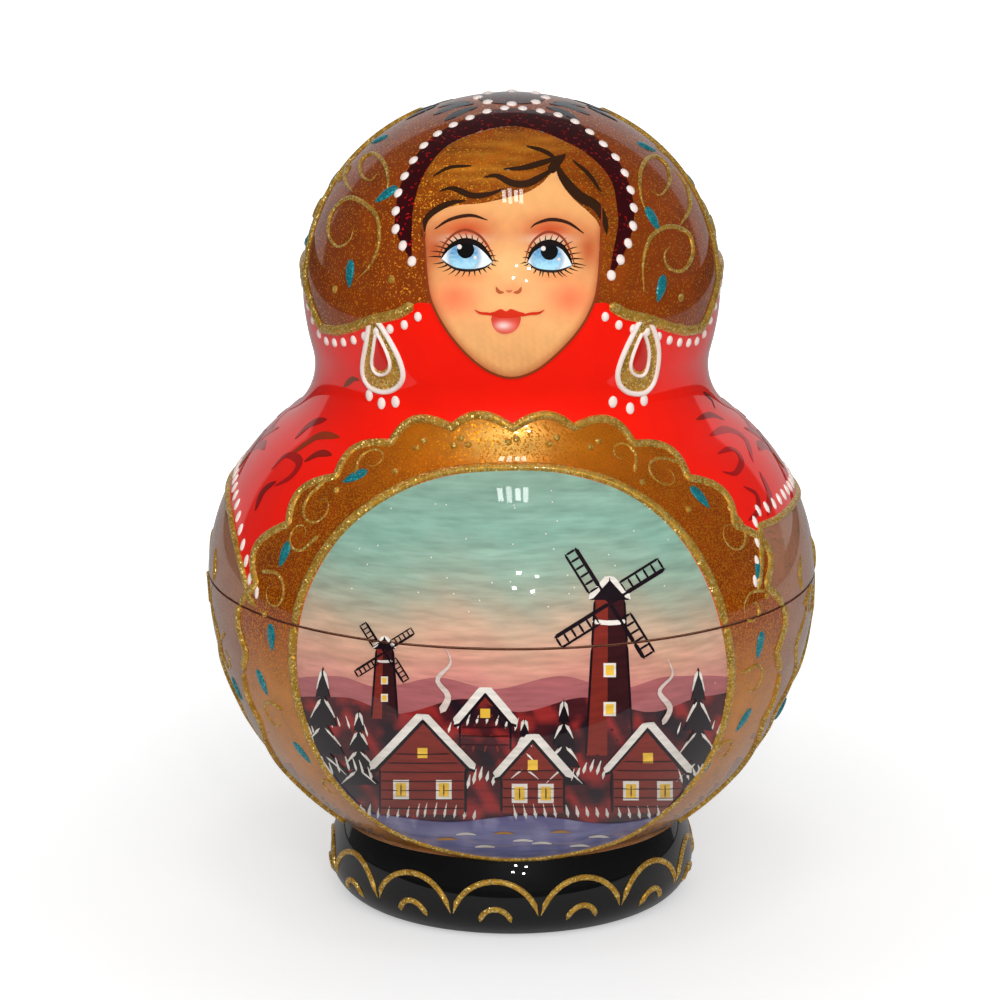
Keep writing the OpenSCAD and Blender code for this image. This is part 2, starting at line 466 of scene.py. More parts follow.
    def patch(self, finish, loop, colour, step, holes=(), lift=None):
        """Flat paint inside a closed loop of the front view. The colour may be a function of the place."""
        lift = self.over() if lift is None else lift
        cuts = []
        if len(self.bodies) > 1:
            az = np.radians(np.linspace(-88, 88, 120))
            cuts = [seen(BODY.point(az, np.full_like(az, SEAM_Z + side * SEAM_GAP))) for side in (-1, 1)]
        view, triangles = filled(loop, list(holes), cuts, step)
        where = cast(view)
        z = where[:, 1]
        middle = z[triangles].mean(1)
        tint = colour(view) if callable(colour) else np.broadcast_to(colour, (len(view), 3))
        normals = BODY.normal(where[:, 0], z)
        for half, keep in self.halves(middle):
            chosen = triangles[keep]
            if len(chosen) == 0:
                continue
            used, index = np.unique(chosen, return_inverse=True)
            index = index.reshape(chosen.shape)
            n = len(used)
            top = BODY.point(where[used, 0], z[used], lift)
            low = BODY.point(where[used, 0], z[used], -SINK)
            edges = np.vstack([index[:, [0, 1]], index[:, [1, 2]], index[:, [2, 0]]])
            paired = {tuple(e) for e in edges.tolist()}
            rim = [(b, a, a + n, b + n) for a, b in edges.tolist() if (b, a) not in paired]
            both = np.vstack([normals[used], normals[used]])
            tints = np.vstack([tint[used], tint[used]])
            self.add(finish, half, np.vstack([top, low]), index.tolist() + rim, both, tints)

    def halves(self, z):
        """Each half's name, with which of the heights are on it."""
        if len(self.bodies) == 1:
            return [("whole", np.full(len(z), True))]
        return [("top", z > SEAM_Z + SEAM_GAP * 0.9), ("bottom", z < SEAM_Z - SEAM_GAP * 0.9)]

    def build(self):
        """Makes the objects, each riding on its half of the doll."""
        for (finish, half), part in self.parts.items():
            mesh = bpy.data.meshes.new(f"{self.name}_{half}_{finish}")
            points = np.vstack(part["p"]) * self.scale + (0, 0, self.stand)
            mesh.from_pydata((points * MM).tolist(), [], part["f"])
            mesh.polygons.foreach_set("use_smooth", np.ones(len(mesh.polygons), bool))
            tint = mesh.color_attributes.new("Tint", "FLOAT_COLOR", "POINT")
            colours = np.c_[np.vstack(part["c"]), np.ones(part["count"])]
            tint.data.foreach_set("color", colours.astype(np.float32).ravel())
            normals = np.vstack(part["n"])
            if normals.any():
                mesh.normals_split_custom_set_from_vertices(normals.tolist())
            mesh.materials.append(FINISHES[finish])
            self.place(mesh, half)

    def place(self, mesh, half):
        """Puts a mesh in the scene, riding on one half."""
        obj = bpy.data.objects.new(mesh.name, mesh)
        bpy.context.scene.collection.objects.link(obj)
        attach(obj, self.bodies[0] if half == "whole" else self.bodies[half == "top"])


# Points inside flat paint: distance of rows and least distance from edges as shares of the step, and how
# many are compared with the edges at a time
FILL_ROWS = 0.87
FILL_CLEAR = 0.45
FILL_CHUNK = 400


def filled(loop, holes, cuts, step):
    """Triangles that fill a loop between its holes, with the cut lines kept as edges."""
    points, edges = [], []
    for line, closed in [(loop, True)] + [(h, True) for h in holes] + [(c, False) for c in cuts]:
        first = sum(len(p) for p in points)
        points.append(line)
        ids = np.arange(first, first + len(line))
        edges += np.c_[ids, np.roll(ids, -1)][: None if closed else -1].tolist()
    low, high = loop.min(0), loop.max(0)
    rows = np.arange(low[1] + step / 2, high[1], step * FILL_ROWS)
    grid = []
    for i, y in enumerate(rows):
        x = np.arange(low[0] + step * (0.25 + 0.5 * (i % 2)), high[0], step)
        grid.append(np.c_[x, np.full(len(x), y)])
    if grid:
        grid = np.vstack(grid)
        inside = within(grid, loop)
        for h in holes:
            inside &= ~within(grid, h)
        grid = grid[inside]
        lines = np.vstack(points)
        for part in np.array_split(np.arange(len(grid)), max(1, len(grid) // FILL_CHUNK)):
            if len(part):
                near = np.hypot(*(grid[part][:, None] - lines[None]).transpose(2, 0, 1)).min(1)
                grid[part[near < step * FILL_CLEAR]] = np.nan
        points.append(grid[~np.isnan(grid[:, 0])])
    verts = np.vstack(points)
    made = delaunay_2d_cdt([Vector(p) for p in verts.tolist()], edges, [], 0, 1e-7)
    out = np.array([tuple(v) for v in made[0]])
    triangles = np.array([f for f in made[2] if len(f) == 3])
    middle = out[triangles].mean(1)
    keep = within(middle, loop)
    for h in holes:
        keep &= ~within(middle, h)
    return out, triangles[keep]


# Finishes

FINISHES = {}


def node(tree, kind, inputs=(), **settings):
    """A shader node with its inputs set to values or linked to sockets."""
    made = tree.nodes.new("ShaderNode" + kind)
    for key, value in settings.items():
        setattr(made, key, value)
    for key, value in dict(inputs).items():
        if isinstance(value, bpy.types.NodeSocket):
            tree.links.new(value, made.inputs[key])
        else:
            made.inputs[key].default_value = value
    return made


def result(tree, kind, inputs=(), socket=0, **settings):
    """An output socket of a new shader node."""
    return node(tree, kind, inputs, **settings).outputs[socket]


def mixed(tree, share, first, second):
    """A colour between two others."""
    return result(tree, "Mix", {0: share, 6: first, 7: second}, 2, data_type="RGBA")


def rgba(colour):
    return (*colour, 1.0)


def material(name):
    """A new material with an empty node tree."""
    made = bpy.data.materials.new(name)
    made.use_nodes = True
    made.node_tree.nodes.clear()
    return made, made.node_tree


# Lacquer: reflection of the paint under it, its own roughness, and what shine a flake has
PAINT_SHINE = 0.1
LACQUER_ROUGH = 0.02
FLAKE_METAL = 0.7
# Depth of grain and tool marks in metres
GRAIN_DEPTH = 0.1 * MM


def lacquer(name, colour=None, mottle=0.16, mottle_mm=3.0, rough=0.45, metal=0.0, flakes=None, coat=1.0,
            grain=0.0, grain_mm=0.3, stretch=(1, 1, 1)):
    """Paint under clear lacquer. Without a colour it takes the mesh's own tint.
    Flakes are their share of the surface, colour, size in millimetres and tilt."""
    made, tree = material(name)
    place = result(tree, "TexCoord", socket="Object")
    drawn = result(tree, "Mapping", {"Vector": place, "Scale": stretch})
    cloud = result(tree, "TexNoise", {"Vector": drawn, "Scale": 1 / (mottle_mm * MM), "Detail": 4.0})
    dark = result(tree, "MapRange", {"Value": cloud, "From Min": 0.3, "From Max": 0.7,
                                     "To Min": 1 - mottle, "To Max": 1 + mottle})
    ground = result(tree, "VertexColor", layer_name="Tint") if colour is None else colour
    inputs = {"Base Color": result(tree, "VectorMath", {0: ground, "Scale": dark}, operation="SCALE"),
              "Metallic": metal, "Roughness": rough, "Specular IOR Level": PAINT_SHINE,
              "Coat Weight": coat, "Coat Roughness": LACQUER_ROUGH, "Coat IOR": 1.5}
    if flakes:
        share, flake_colour, size, tilt = flakes
        cells = result(tree, "TexVoronoi", {"Vector": place, "Scale": 1 / (size * MM)}, "Color")
        pick = result(tree, "SeparateColor", {"Color": cells})
        shown = result(tree, "Math", {0: pick, 1: 1 - share}, operation="GREATER_THAN")
        lean = result(tree, "VectorMath", {0: cells, 1: (0.5, 0.5, 0.5)}, operation="SUBTRACT")
        amount = result(tree, "Math", {0: shown, 1: tilt}, operation="MULTIPLY")
        leaning = result(tree, "VectorMath", {0: lean, "Scale": amount}, operation="SCALE")
        normal = result(tree, "NewGeometry", socket="Normal")
        turned = result(tree, "VectorMath", {0: normal, 1: leaning}, operation="ADD")
        inputs["Base Color"] = mixed(tree, shown, inputs["Base Color"], rgba(flake_colour))
        inputs["Metallic"] = result(tree, "Math", {0: shown, 1: max(FLAKE_METAL - metal, 0.2), 2: metal},
                                    operation="MULTIPLY_ADD")
        inputs["Normal"] = result(tree, "VectorMath", {0: turned}, operation="NORMALIZE")
    if grain:
        noise = result(tree, "TexNoise", {"Vector": place, "Scale": 1 / (grain_mm * MM), "Detail": 3.0})
        bump = {"Height": noise, "Strength": grain, "Distance": GRAIN_DEPTH}
        if flakes:
            bump["Normal"] = inputs["Normal"]
        inputs["Normal"] = result(tree, "Bump", bump)
    node(tree, "OutputMaterial", {"Surface": result(tree, "BsdfPrincipled", inputs)})
    FINISHES[name] = made


def raw_wood(name):
    """Bare turned linden: pale, with upright grain and faint tool rings."""
    made, tree = material(name)
    place = result(tree, "TexCoord", socket="Object")
    drawn = result(tree, "Mapping", {"Vector": place, "Scale": (900, 900, 60)})
    fibre = result(tree, "TexNoise", {"Vector": drawn, "Scale": 1.0, "Detail": 5.0})
    tone = mixed(tree, fibre, rgba(srgb(204, 160, 106)), rgba(srgb(240, 210, 164)))
    rings = result(tree, "TexWave", {"Vector": place, "Scale": 450.0, "Distortion": 1.2, "Detail": 2.0},
                   "Fac", wave_type="BANDS", bands_direction="Z")
    bump = result(tree, "Bump", {"Height": rings, "Strength": 0.12, "Distance": GRAIN_DEPTH})
    surface = result(tree, "BsdfPrincipled", {"Base Color": tone, "Roughness": 0.62, "Normal": bump})
    node(tree, "OutputMaterial", {"Surface": surface})
    FINISHES[name] = made


GLINT = srgb(255, 224, 134)
lacquer("kerchief", OCHRE, mottle=0.18, flakes=(0.13, srgb(238, 146, 38), 0.16, 0.9))
lacquer("shawl", RED, mottle=0.05, mottle_mm=8)
lacquer("side", TAUPE, mottle=0.14, mottle_mm=5, flakes=(0.1, srgb(196, 156, 112), 0.2, 0.7))
lacquer("foot", BLACK, mottle=0.1)
# Dark brown on the seam's chamfers: partly paint on the edge, partly painted shade in the groove between
# the halves
lacquer("seam", srgb(92, 46, 36), mottle=0.3, rough=0.7, coat=0.0)
lacquer("ring", None, mottle=0.2, flakes=(0.32, srgb(240, 146, 20), 0.14, 0.5), metal=0.4, rough=0.32)
lacquer("hair", None, mottle=0.25, flakes=(0.18, srgb(248, 164, 44), 0.16, 0.9))
lacquer("band", MAROON, mottle=0.2, flakes=(0.07, srgb(200, 14, 18), 0.25, 0.9))
lacquer("gold", GOLD, mottle=0.3, mottle_mm=1.2, metal=0.5, rough=0.3, flakes=(0.3, GLINT, 0.2, 1.2),
        coat=0.3, grain=0.35, grain_mm=0.16)
lacquer("teal", TEAL, mottle=0.25, mottle_mm=0.8, metal=0.2, rough=0.35,
        flakes=(0.3, srgb(70, 190, 196), 0.14, 0.8))
lacquer("navy", NAVY, flakes=(0.1, srgb(90, 110, 120), 0.16, 0.8))
lacquer("enamel", ENAMEL, mottle=0.03)
lacquer("picture", None, mottle=0.05, mottle_mm=1.5)
lacquer("scene", None, mottle=0.15, mottle_mm=0.8, stretch=(0.2, 0.2, 1.3))
lacquer("swirl", None, mottle=0.1)
raw_wood("linden")


# Skins: the painted ground of each half

# Edges of the kerchief and of the shawl: degrees round the doll and height
HEM = np.array([(0, 80), (26, 79.6), (32, 77.9), (40, 76.8), (48, 75.3), (56, 74.2), (64, 73.8), (66, 74.2),
                (77.5, 78.4), (84, 79.4), (97, 79.8), (120, 78.5), (150, 74.5), (180, 71.5)])
SHAWL_HEM = np.array([(-180, 47), (-150, 50), (-120, 52.5), (-85, 51.7), (-74, 50.4), (-67, 48.4),
                      (-61, 45.6), (-57, 42.6), (-52, SEAM_Z + SEAM_GAP), (50, SEAM_Z + SEAM_GAP),
                      (54, 46.5), (58, 51.3), (65, 51.1), (79, 51.2), (94, 50.7), (120, 51.8), (150, 50),
                      (180, 47)])


def hem_at(az):
    """Height of the kerchief's edge."""
    return np.interp(np.abs(np.degrees(az)), HEM[:, 0], HEM[:, 1])


def shawl_at(az):
    """Height of the shawl's lower edge."""
    return np.interp(np.degrees(az), SHAWL_HEM[:, 0], SHAWL_HEM[:, 1])


# Columns and rows of a skin on the outer doll, the fewest on a small one, and how far the seam's chamfer
# stands from it
SKIN_COLUMNS, LEAST_COLUMNS = 288, 96
SKIN_ROWS, LEAST_ROWS = 54, 16
CHAMFER = 0.012


def skin(painting, half, surface, bands, rows, rim=0):
    """A painted skin between edges that vary round the doll. Bands are finishes with upper and lower edges.
    A rim of 1 paints the seam's chamfer below the skin, and -1 the one above it."""
    columns = max(LEAST_COLUMNS, int(SKIN_COLUMNS * painting.scale ** 0.6))
    az = np.linspace(-math.pi, math.pi, columns, endpoint=False)
    levels, slots = [], []
    for slot, (finish, upper, lower) in enumerate(bands):
        top, low = surface.length(upper(az)), surface.length(lower(az))
        t = np.linspace(0, 1, rows + 1)[:, None]
        block = surface.height(top + (low - top) * t)
        levels += list(block if slot == 0 else block[1:])
        slots += [slot] * rows
    z = np.array(levels)
    spread = np.broadcast_to(az, z.shape)
    points = surface.point(spread, z, SKIN)
    normals = surface.normal(spread, z)
    # The chamfer row takes the dark seam finish: partly edge paint, partly painted shade in the groove
    chamfer = surface.point(az, np.full(columns, SEAM_Z + CHAMFER * rim), -SINK)
    high = chamfer if rim < 0 else surface.point(az, z[0], -SINK)
    low = chamfer if rim > 0 else surface.point(az, z[-1], -SINK)
    points = np.vstack([high[None], points, low[None]])
    normals = np.vstack([normals[:1], normals, normals[-1:]])
    finishes = [finish for finish, _, _ in bands] + ["seam"]
    slots = [len(bands) if rim < 0 else slots[0]] + slots + [len(bands) if rim > 0 else slots[-1]]
    mesh = bpy.data.meshes.new(f"{painting.name}_{half}_skin_{bands[0][0]}")
    flat = points.reshape(-1, 3) * painting.scale + (0, 0, painting.stand)
    mesh.from_pydata((flat * MM).tolist(), [], quads(len(points), columns))
    mesh.polygons.foreach_set("use_smooth", np.ones(len(mesh.polygons), bool))
    mesh.polygons.foreach_set("material_index", np.repeat(slots, columns).astype(np.int32))
    mesh.normals_split_custom_set_from_vertices(normals.reshape(-1, 3).tolist())
    for finish in finishes:
        mesh.materials.append(FINISHES[finish])
    painting.place(mesh, half if len(painting.bodies) > 1 else "whole")


def level(z):
    """An edge at the same height all round."""
    return lambda az: np.full_like(az, z)


def skins(painting):
    """The grounds of one doll: kerchief, shawl, sides and foot."""
    rows = max(LEAST_ROWS, int(SKIN_ROWS * painting.scale ** 0.5))
    apex = DOLL_H - 1e-4
    parted = len(painting.bodies) > 1
    gap = SEAM_GAP if parted else 0.0

    def shawl_edge(az):
        return np.maximum(shawl_at(az), SEAM_Z + gap + 0.01)

    skin(painting, "top", BODY, [("kerchief", level(apex), hem_at), ("shawl", hem_at, shawl_edge),
                                 ("side", shawl_edge, level(SEAM_Z + gap))], rows, 1 if parted else 0)
    skin(painting, "bottom", BODY, [("side", level(SEAM_Z - gap), level(FOOT_H))], rows,
         -1 if parted else 0)
    skin(painting, "bottom", FOOT, [("foot", level(FOOT_H), level(0.02))], rows // 2)


# Ornament

# Outlines of the head's painting in the front view, in millimetres
FACE = [(-10.9, 34), (-10.7, 32.1), (-10.2, 25.9), (-9.3, 23), (-7.5, 20), (-5.1, 17.3), (-2.6, 15.5),
        (0, 14.8), (2.6, 15.5), (5.1, 17.3), (7.8, 20.1), (9.6, 23), (10.5, 26.1), (10.9, 32.1),
        (10.9, 36), (6, 41.4), (-1.4, 41.6), (-7.5, 39.5)]
BAND_OUT = [(-12.2, 29), (-13.3, 30.9), (-14.2, 33.1), (-14.1, 35.7), (-13.7, 37.9), (-12.6, 40.3),
            (-11, 42.8), (-9.3, 44.4), (-6.8, 45.8), (-2.6, 47.4), (0.3, 47.7), (3.1, 47.4), (6.2, 46.7),
            (8.5, 45.6), (10.4, 44), (12.4, 42.1), (13.9, 39.6), (14.8, 36.5), (14.9, 33.8), (14.3, 31.4),
            (13.3, 29.2), (12.2, 27.3)]
BAND_IN = [(12.1, 28.4), (12.5, 30.7), (13, 33.6), (12.8, 36), (12.3, 38.5), (10.9, 40.6), (8.5, 42.6),
           (5.7, 44), (3.4, 44.9), (0.1, 45.5), (-3.6, 44.9), (-7.2, 43.5), (-9.3, 41.7), (-11, 39),
           (-11.7, 36.9), (-12.1, 34.8), (-12.2, 31.8)]
HAIRLINE = [(-10.6, 31), (-10.3, 33.8), (-9.2, 35), (-6.9, 35.8), (-3.6, 36.1), (-0.4, 36.8), (1.6, 37.3),
            (3.4, 38.3), (4.6, 39.5), (5.4, 40.2), (6.2, 38.3), (7.6, 36.6), (9.4, 35), (10.6, 33.6),
            (10.9, 31.5), (10.6, 26.5)]
# Dark strands of hair: path and width
STRANDS = [([(6.3, 41.9), (4.3, 41.2), (1.5, 40.4), (-1, 40.2)], 0.9),
           ([(-3.4, 39.2), (-1.8, 39.4), (0.1, 38.5), (2, 38.5), (3.9, 39.5), (5.3, 40.4)], 1.0),
           ([(-8.8, 37.5), (-7.2, 37.9), (-4.8, 37), (-2.7, 37.2), (-1, 37.8)], 0.8),
           ([(5.4, 41), (6.4, 39), (8.2, 37), (10.2, 35.8), (11.3, 34), (11.6, 32.3)], 1.5),
           ([(-10.9, 32), (-10.3, 34.3), (-8, 35.9), (-5.6, 36.4)], 0.9),
           ([(1.8, 43), (4, 42.4), (5.8, 41.2)], 0.7),
           ([(-9.6, 39.3), (-7.6, 40.4), (-4.9, 40.6)], 0.5),
           ([(7.4, 41.3), (9.4, 39.6), (10.9, 37.4)], 0.6)]
PARTING = [(5.2, 39.8), (6.6, 41.9), (5.6, 41.6), (4.4, 40.4)]


def gauss(view, x, y, rx, ry):
    """Weights of a soft oval spot."""
    return np.exp(-((view[:, 0] - x) / rx) ** 2 - ((view[:, 1] - y) / ry) ** 2)[:, None]


def blended(view, base, *layers):
    """Colours at places of the front view: a base, and layers of a weight from 0 to 1 and a colour."""
    out = np.broadcast_to(np.array(base, float), (len(view), 3))
    for weight, colour in layers:
        out = out * (1 - weight) + weight * np.array(colour)
    return out


def face_tint(view):
    """Skin with a shaded edge, eye shadow, rosy cheeks and bare wood at the chin."""
    outline = curve(FACE, 0.5, closed=True)
    edge = np.hypot(*(view[:, None] - outline[None]).transpose(2, 0, 1)).min(1)[:, None]
    rim = np.clip(1 - edge / 1.3, 0, 1) ** 1.5
    brow = np.clip((view[:, 1:] - 31) / 6, 0, 1)
    chin = np.clip((22 - view[:, 1:]) / 5, 0, 1)
    fibre = (0.5 + 0.5 * np.sin(view[:, :1] * 7.3 + np.sin(view[:, 1:] * 0.7) * 1.4)) * 0.2
    layers = [(0.3 * brow, srgb(250, 160, 86)), (0.8 * chin, srgb(242, 170, 106)),
              (fibre * chin, srgb(188, 130, 72))]
    for side, eye in zip((-1, 1), EYES):
        x = np.mean(eye["outline"], axis=0)[0]
        layers += [(0.8 * gauss(view, 7.1 * side, 24.5, 3.4, 2.5), srgb(254, 116, 76)),
                   (0.95 * gauss(view, x, 32.6, 4.1, 2.2), srgb(206, 66, 20)),
                   (0.85 * gauss(view, 9.4 * side, 30.4, 1.5, 2.8), srgb(190, 66, 22)),
                   (0.6 * gauss(view, x + 0.4, 27.2, 3.2, 0.8), srgb(238, 136, 78)),
                   (0.9 * gauss(view, x - 0.2, 31.7, 2.5, 0.5), srgb(244, 222, 192))]
    layers += [(0.5 * gauss(view, 0, 25.6, 2, 1), srgb(248, 138, 88)),
               (0.35 * gauss(view, -0.4, 21.4, 4.5, 2), srgb(252, 152, 98)), (0.8 * rim, srgb(190, 80, 32))]
    return blended(view, srgb(253, 192, 124), *layers)


def hair_tint(view):
    """Hair with dark combed streaks and a painted sheen on its upper left, with brighter locks in the
    sheen.
    """
    comb = np.sin(view[:, 1:] * 4.2 + 0.9 * np.sin(view[:, :1] * 0.5) + 0.25 * view[:, :1])
    # Painted sheen: the upper left of the hair and the top of the parting are lighter, as light falls there
    lit = gauss(view, -4, 40.5, 6.5, 2.6) + gauss(view, 2, 43.4, 4.5, 1.2)
    return blended(view, HAIR, (np.clip(0.55 * lit, 0, 1), srgb(200, 112, 20)),
                   (np.clip(0.35 * comb, 0, 1), srgb(96, 46, 8)),
                   (np.clip(-0.3 * comb * lit, 0, 1), srgb(232, 168, 56)))


# Eyes, brows, nose and lips in the front view. An eye's outline starts at its left corner, upper lid first
EYES = [{"outline": [(-8.6, 29.3), (-7.9, 30.4), (-6.8, 31.2), (-5.5, 31.5), (-4, 31), (-2.9, 29.9),
                     (-2.3, 28.9), (-3.4, 28.2), (-5.1, 27.9), (-6.8, 28.1), (-7.9, 28.7)],
         "iris": (-5.8, 29.6), "pupil": (-5.6, 30.4), "outer": -1},
        {"outline": [(1.9, 28.9), (2.5, 30.2), (3.5, 31), (4.7, 31.3), (6.1, 30.8), (7, 29.6),
                     (7.4, 28.5), (5.9, 27.9), (4.5, 27.8), (3, 28.1)],
         "iris": (4.3, 29.4), "pupil": (4.6, 30.2), "outer": 1}]
IRIS_R = 1.95
IRIS_RAYS = 17
PUPIL_R = 1.05
PUPIL = srgb(10, 8, 8)
BROWS = [[(-9.4, 32.9), (-7.5, 34.1), (-5, 34.6), (-2.9, 34)],
         [(2.3, 33), (3, 33.6), (4.8, 34.1), (6.9, 33.7), (8.8, 32.4)]]
NOSE = [([(-1.9, 25.9), (-1.6, 25.3), (-0.9, 25.2)], 0.42, srgb(196, 92, 48)),
        ([(0.2, 25.2), (0.9, 25.3), (1.2, 25.9)], 0.42, srgb(196, 92, 48)),
        ([(-0.7, 25.5), (-0.3, 25.3), (0.1, 25.5)], 0.3, srgb(222, 120, 72))]
UPPER_LIP = [(-2.9, 22.6), (-2, 22.9), (-1.3, 23.2), (-0.7, 22.9), (-0.1, 23.2), (0.8, 22.9), (1.7, 22.6),
             (0.6, 22.2), (-0.6, 22.1), (-1.8, 22.2)]
LOWER_LIP = [(-2.4, 22.3), (-2.4, 21.5), (-2, 20.7), (-1.3, 20.25), (-0.5, 20.2), (0.3, 20.5), (0.9, 21.2),
             (1.1, 22.3), (0.2, 22.2), (-0.6, 22.1), (-1.5, 22.2)]


def eye_tint(eye):
    """Colours of an eye: white with a shaded lid, and an iris that is lightest at its foot."""
    def tint(view):
        away = np.hypot(view[:, 0] - eye["iris"][0], view[:, 1] - eye["iris"][1])[:, None]
        iris = np.clip((IRIS_R - away) / 0.3, 0, 1)
        ring = np.clip(1 - np.abs(away - IRIS_R) / 0.3, 0, 1)
        low = np.clip((eye["iris"][1] + 0.5 - view[:, 1:]) / 1.5, 0, 1)
        turn = np.arctan2(view[:, 1:] - eye["iris"][1], view[:, :1] - eye["iris"][0])
        rays = 0.5 + 0.5 * np.sin(turn * IRIS_RAYS)
        shadow = np.clip((view[:, 1:] - 30.4) / 1.1, 0, 1)
        return blended(view, srgb(240, 249, 252), (0.5 * shadow, srgb(140, 158, 166)),
                       (iris, srgb(56, 140, 196)), (iris * low, srgb(164, 222, 246)),
                       (0.35 * iris * rays, srgb(214, 244, 255)), (0.45 * ring, srgb(30, 96, 146)))
    return tint


# The gold fold at the kerchief's sides: degrees round the doll and height, and about what these measure
KERCHIEF_FOLD = np.array([(77.5, 78.4), (79, 82), (82, 86), (88, 90.5), (98, 94.5), (115, 97.6)])
DEGREE_MM = np.array([0.4, 1])


def paint_head(p):
    """Face, hair, head band and the kerchief's hem."""
    p.level = 0.0
    step = 0.5 * p.coarse
    p.patch("picture", curve(FACE, step, closed=True), face_tint, step)
    hair = np.vstack([curve(BAND_IN, step), curve(HAIRLINE, step)])
    p.patch("hair", hair, hair_tint, 0.7 * p.coarse)
    band = np.vstack([curve(BAND_OUT, step), curve(BAND_IN, step)])
    p.patch("band", band, MAROON, 0.9 * p.coarse)
    paint_face(p)
    lift = p.over()
    for points, width in STRANDS:
        p.brushed("picture", points, width, HAIR_DARK, step=0.4, lift=lift)
    p.patch("picture", curve(PARTING, 0.3 * p.coarse, closed=True), HAIR_DARK, 0.6)
    p.brushed("picture", FACE[:15], 0.26, srgb(142, 60, 28), step=0.5, taper=round_ends, lift=lift)
    p.dots("enamel", cast(spaced(curve(BAND_OUT, 0.2), 2.25)), 0.6, 0.34, stretch=1.1)
    for side in (-1, 1):
        az = np.radians(np.linspace(27, 180, int(220 / p.coarse))) * side
        p.stroke("gold", np.c_[az, hem_at(az)], 1.4, 0.45)
        below = spaced(hem_outside(1.5), 2.15)
        p.dots("enamel", np.c_[below[:, 0] / HEAD_R * side, below[:, 1]], 0.5, 0.3, 1.2)
        path = curve(KERCHIEF_FOLD * DEGREE_MM, 0.6 * p.coarse) / DEGREE_MM
        p.stroke("gold", np.c_[np.radians(path[:, 0]) * side, path[:, 1]], 1.0, 0.35)


def hem_outside(away):
    """A line beside the kerchief's hem, on the shawl, as lengths round the head and heights."""
    az = np.radians(np.linspace(27.5, 180, 300))
    line = np.c_[az * HEAD_R, hem_at(az)]
    along = np.gradient(line, axis=0)
    return line + away * np.c_[along[:, 1], -along[:, 0]] / np.hypot(*along.T)[:, None]


def paint_face(p):
    """Eyes, lashes, brows, nose and mouth."""
    fine = 0.28 * p.coarse
    base = p.level
    for eye in EYES:
        p.level = base
        loop = curve(eye["outline"], fine, closed=True)
        p.patch("picture", loop, eye_tint(eye), fine)
        a = np.linspace(0, 2 * math.pi, 20, endpoint=False)
        p.patch("picture", np.array(eye["pupil"]) + np.c_[np.cos(a), np.sin(a)] * PUPIL_R,
                PUPIL, 0.6)
        lift = p.over() + LAYER
        glint = np.array(eye["pupil"]) + (-0.75, 0.35)
        p.dots("enamel", cast([glint]), 0.3, 0.06, lift=lift)
        p.dots("enamel", cast([glint + (1.9, -1.3)]), 0.2, 0.05, lift=lift)
        centre = loop.mean(0)
        upper = curve(eye["outline"][:7], fine)
        p.stroke("picture", cast(upper), 0.75, FILM, srgb(24, 14, 12), brush, lift=lift)
        lid = centre + (upper - centre) * (1.12, 1.55) + (0, 0.25)
        p.stroke("picture", cast(lid), 0.34, FILM, srgb(150, 62, 34), brush, lift=lift)
        lower = curve(eye["outline"][6:] + eye["outline"][:1], fine)
        p.stroke("picture", cast(lower), 0.36, 0.02, srgb(44, 28, 24), brush, lift=lift)
        for line, count, reach, sag in ((upper, 15, 1.35, 0.06), (lower, 12, 1.1, -0.05)):
            lashes(p, line, centre, count, reach, sag, 0.35 * eye["outer"], lift)
    lift = p.over() + 2 * LAYER
    for brow in BROWS:
        p.brushed("picture", brow, 0.46, srgb(58, 30, 16), lift=lift)
    for points, width, colour in NOSE:
        p.brushed("picture", points, width, colour, lift=lift)
    p.patch("picture", curve(LOWER_LIP, fine, closed=True), lip_tint, fine)
    p.patch("picture", curve(UPPER_LIP, fine, closed=True), LIP, fine)
    lift = p.over() + LAYER
    for corner in ([(-4.5, 23.1), (-3.8, 22.7), (-2.8, 22.6), (-1.5, 22.3)],
                   [(4.0, 23.1), (3.3, 22.7), (2.2, 22.6), (1, 22.3)]):
        p.brushed("picture", corner, 0.34, LIP, lift=lift)


def lashes(p, line, centre, count, reach, sag, lean, lift):
    """Fine lashes that spread from an eyelid."""
    for f in (np.arange(count) + 0.5) / count:
        root = line[int(f * (len(line) - 1))]
        out = (root - centre) / np.hypot(*(root - centre)) + (lean, 0)
        tip = root + out * reach * (0.75 + 0.5 * abs(f - 0.5))
        bend = (root + tip) / 2 + (0, sag)
        p.stroke("picture", cast(curve([root, bend, tip], 0.25 * p.coarse)), 0.26, 0.025,
                 srgb(34, 20, 14), comma, lift=lift, across=3)


def lip_tint(view):
    """The lower lip with its highlight."""
    return blended(view, srgb(226, 62, 44),
                   (0.75 * gauss(view, -0.6, 21, 1.3, 0.8), srgb(250, 132, 112)),
                   (0.9 * gauss(view, -1, 21.2, 0.8, 0.4), srgb(255, 226, 220)))


def drop(length, width):
    """Outline of a leaf drop about its middle, pointed at the top."""
    t = np.linspace(0, 2 * math.pi, 22, endpoint=False)
    return np.c_[0.5 * width * np.sin(t) * np.sin(t / 2) ** 0.6, -0.5 * length * np.cos(t)]


def curl(p, place, radius, start, hand, width=0.5, turns=1.15, tail=3.0):
    """A gold curl with a tail."""
    line = spiral(radius, turns, start, hand, tail)
    p.stroke("gold", beside(place, curve(line, 0.4 * p.coarse)), width, 0.3, taper=comma)


def scroll(p, place, radius, turn, hand, width=0.55):
    """Two gold curls joined in an S."""
    first = spiral(radius, 0.95, 0, hand)[::-1]
    joint = first[-1] + (0, -0.6 * radius * hand)
    line = turned_by(np.vstack([first, 2 * joint - first[::-1]]) - joint, turn)
    p.stroke("gold", beside(place, curve(line, 0.4 * p.coarse)), width, 0.28, taper=brush)


def leaf(p, finish, place, length, width, turn, height=0.3):
    """A raised leaf drop."""
    p.dome(finish, beside(place, turned_by(drop(length, width), turn)), height)


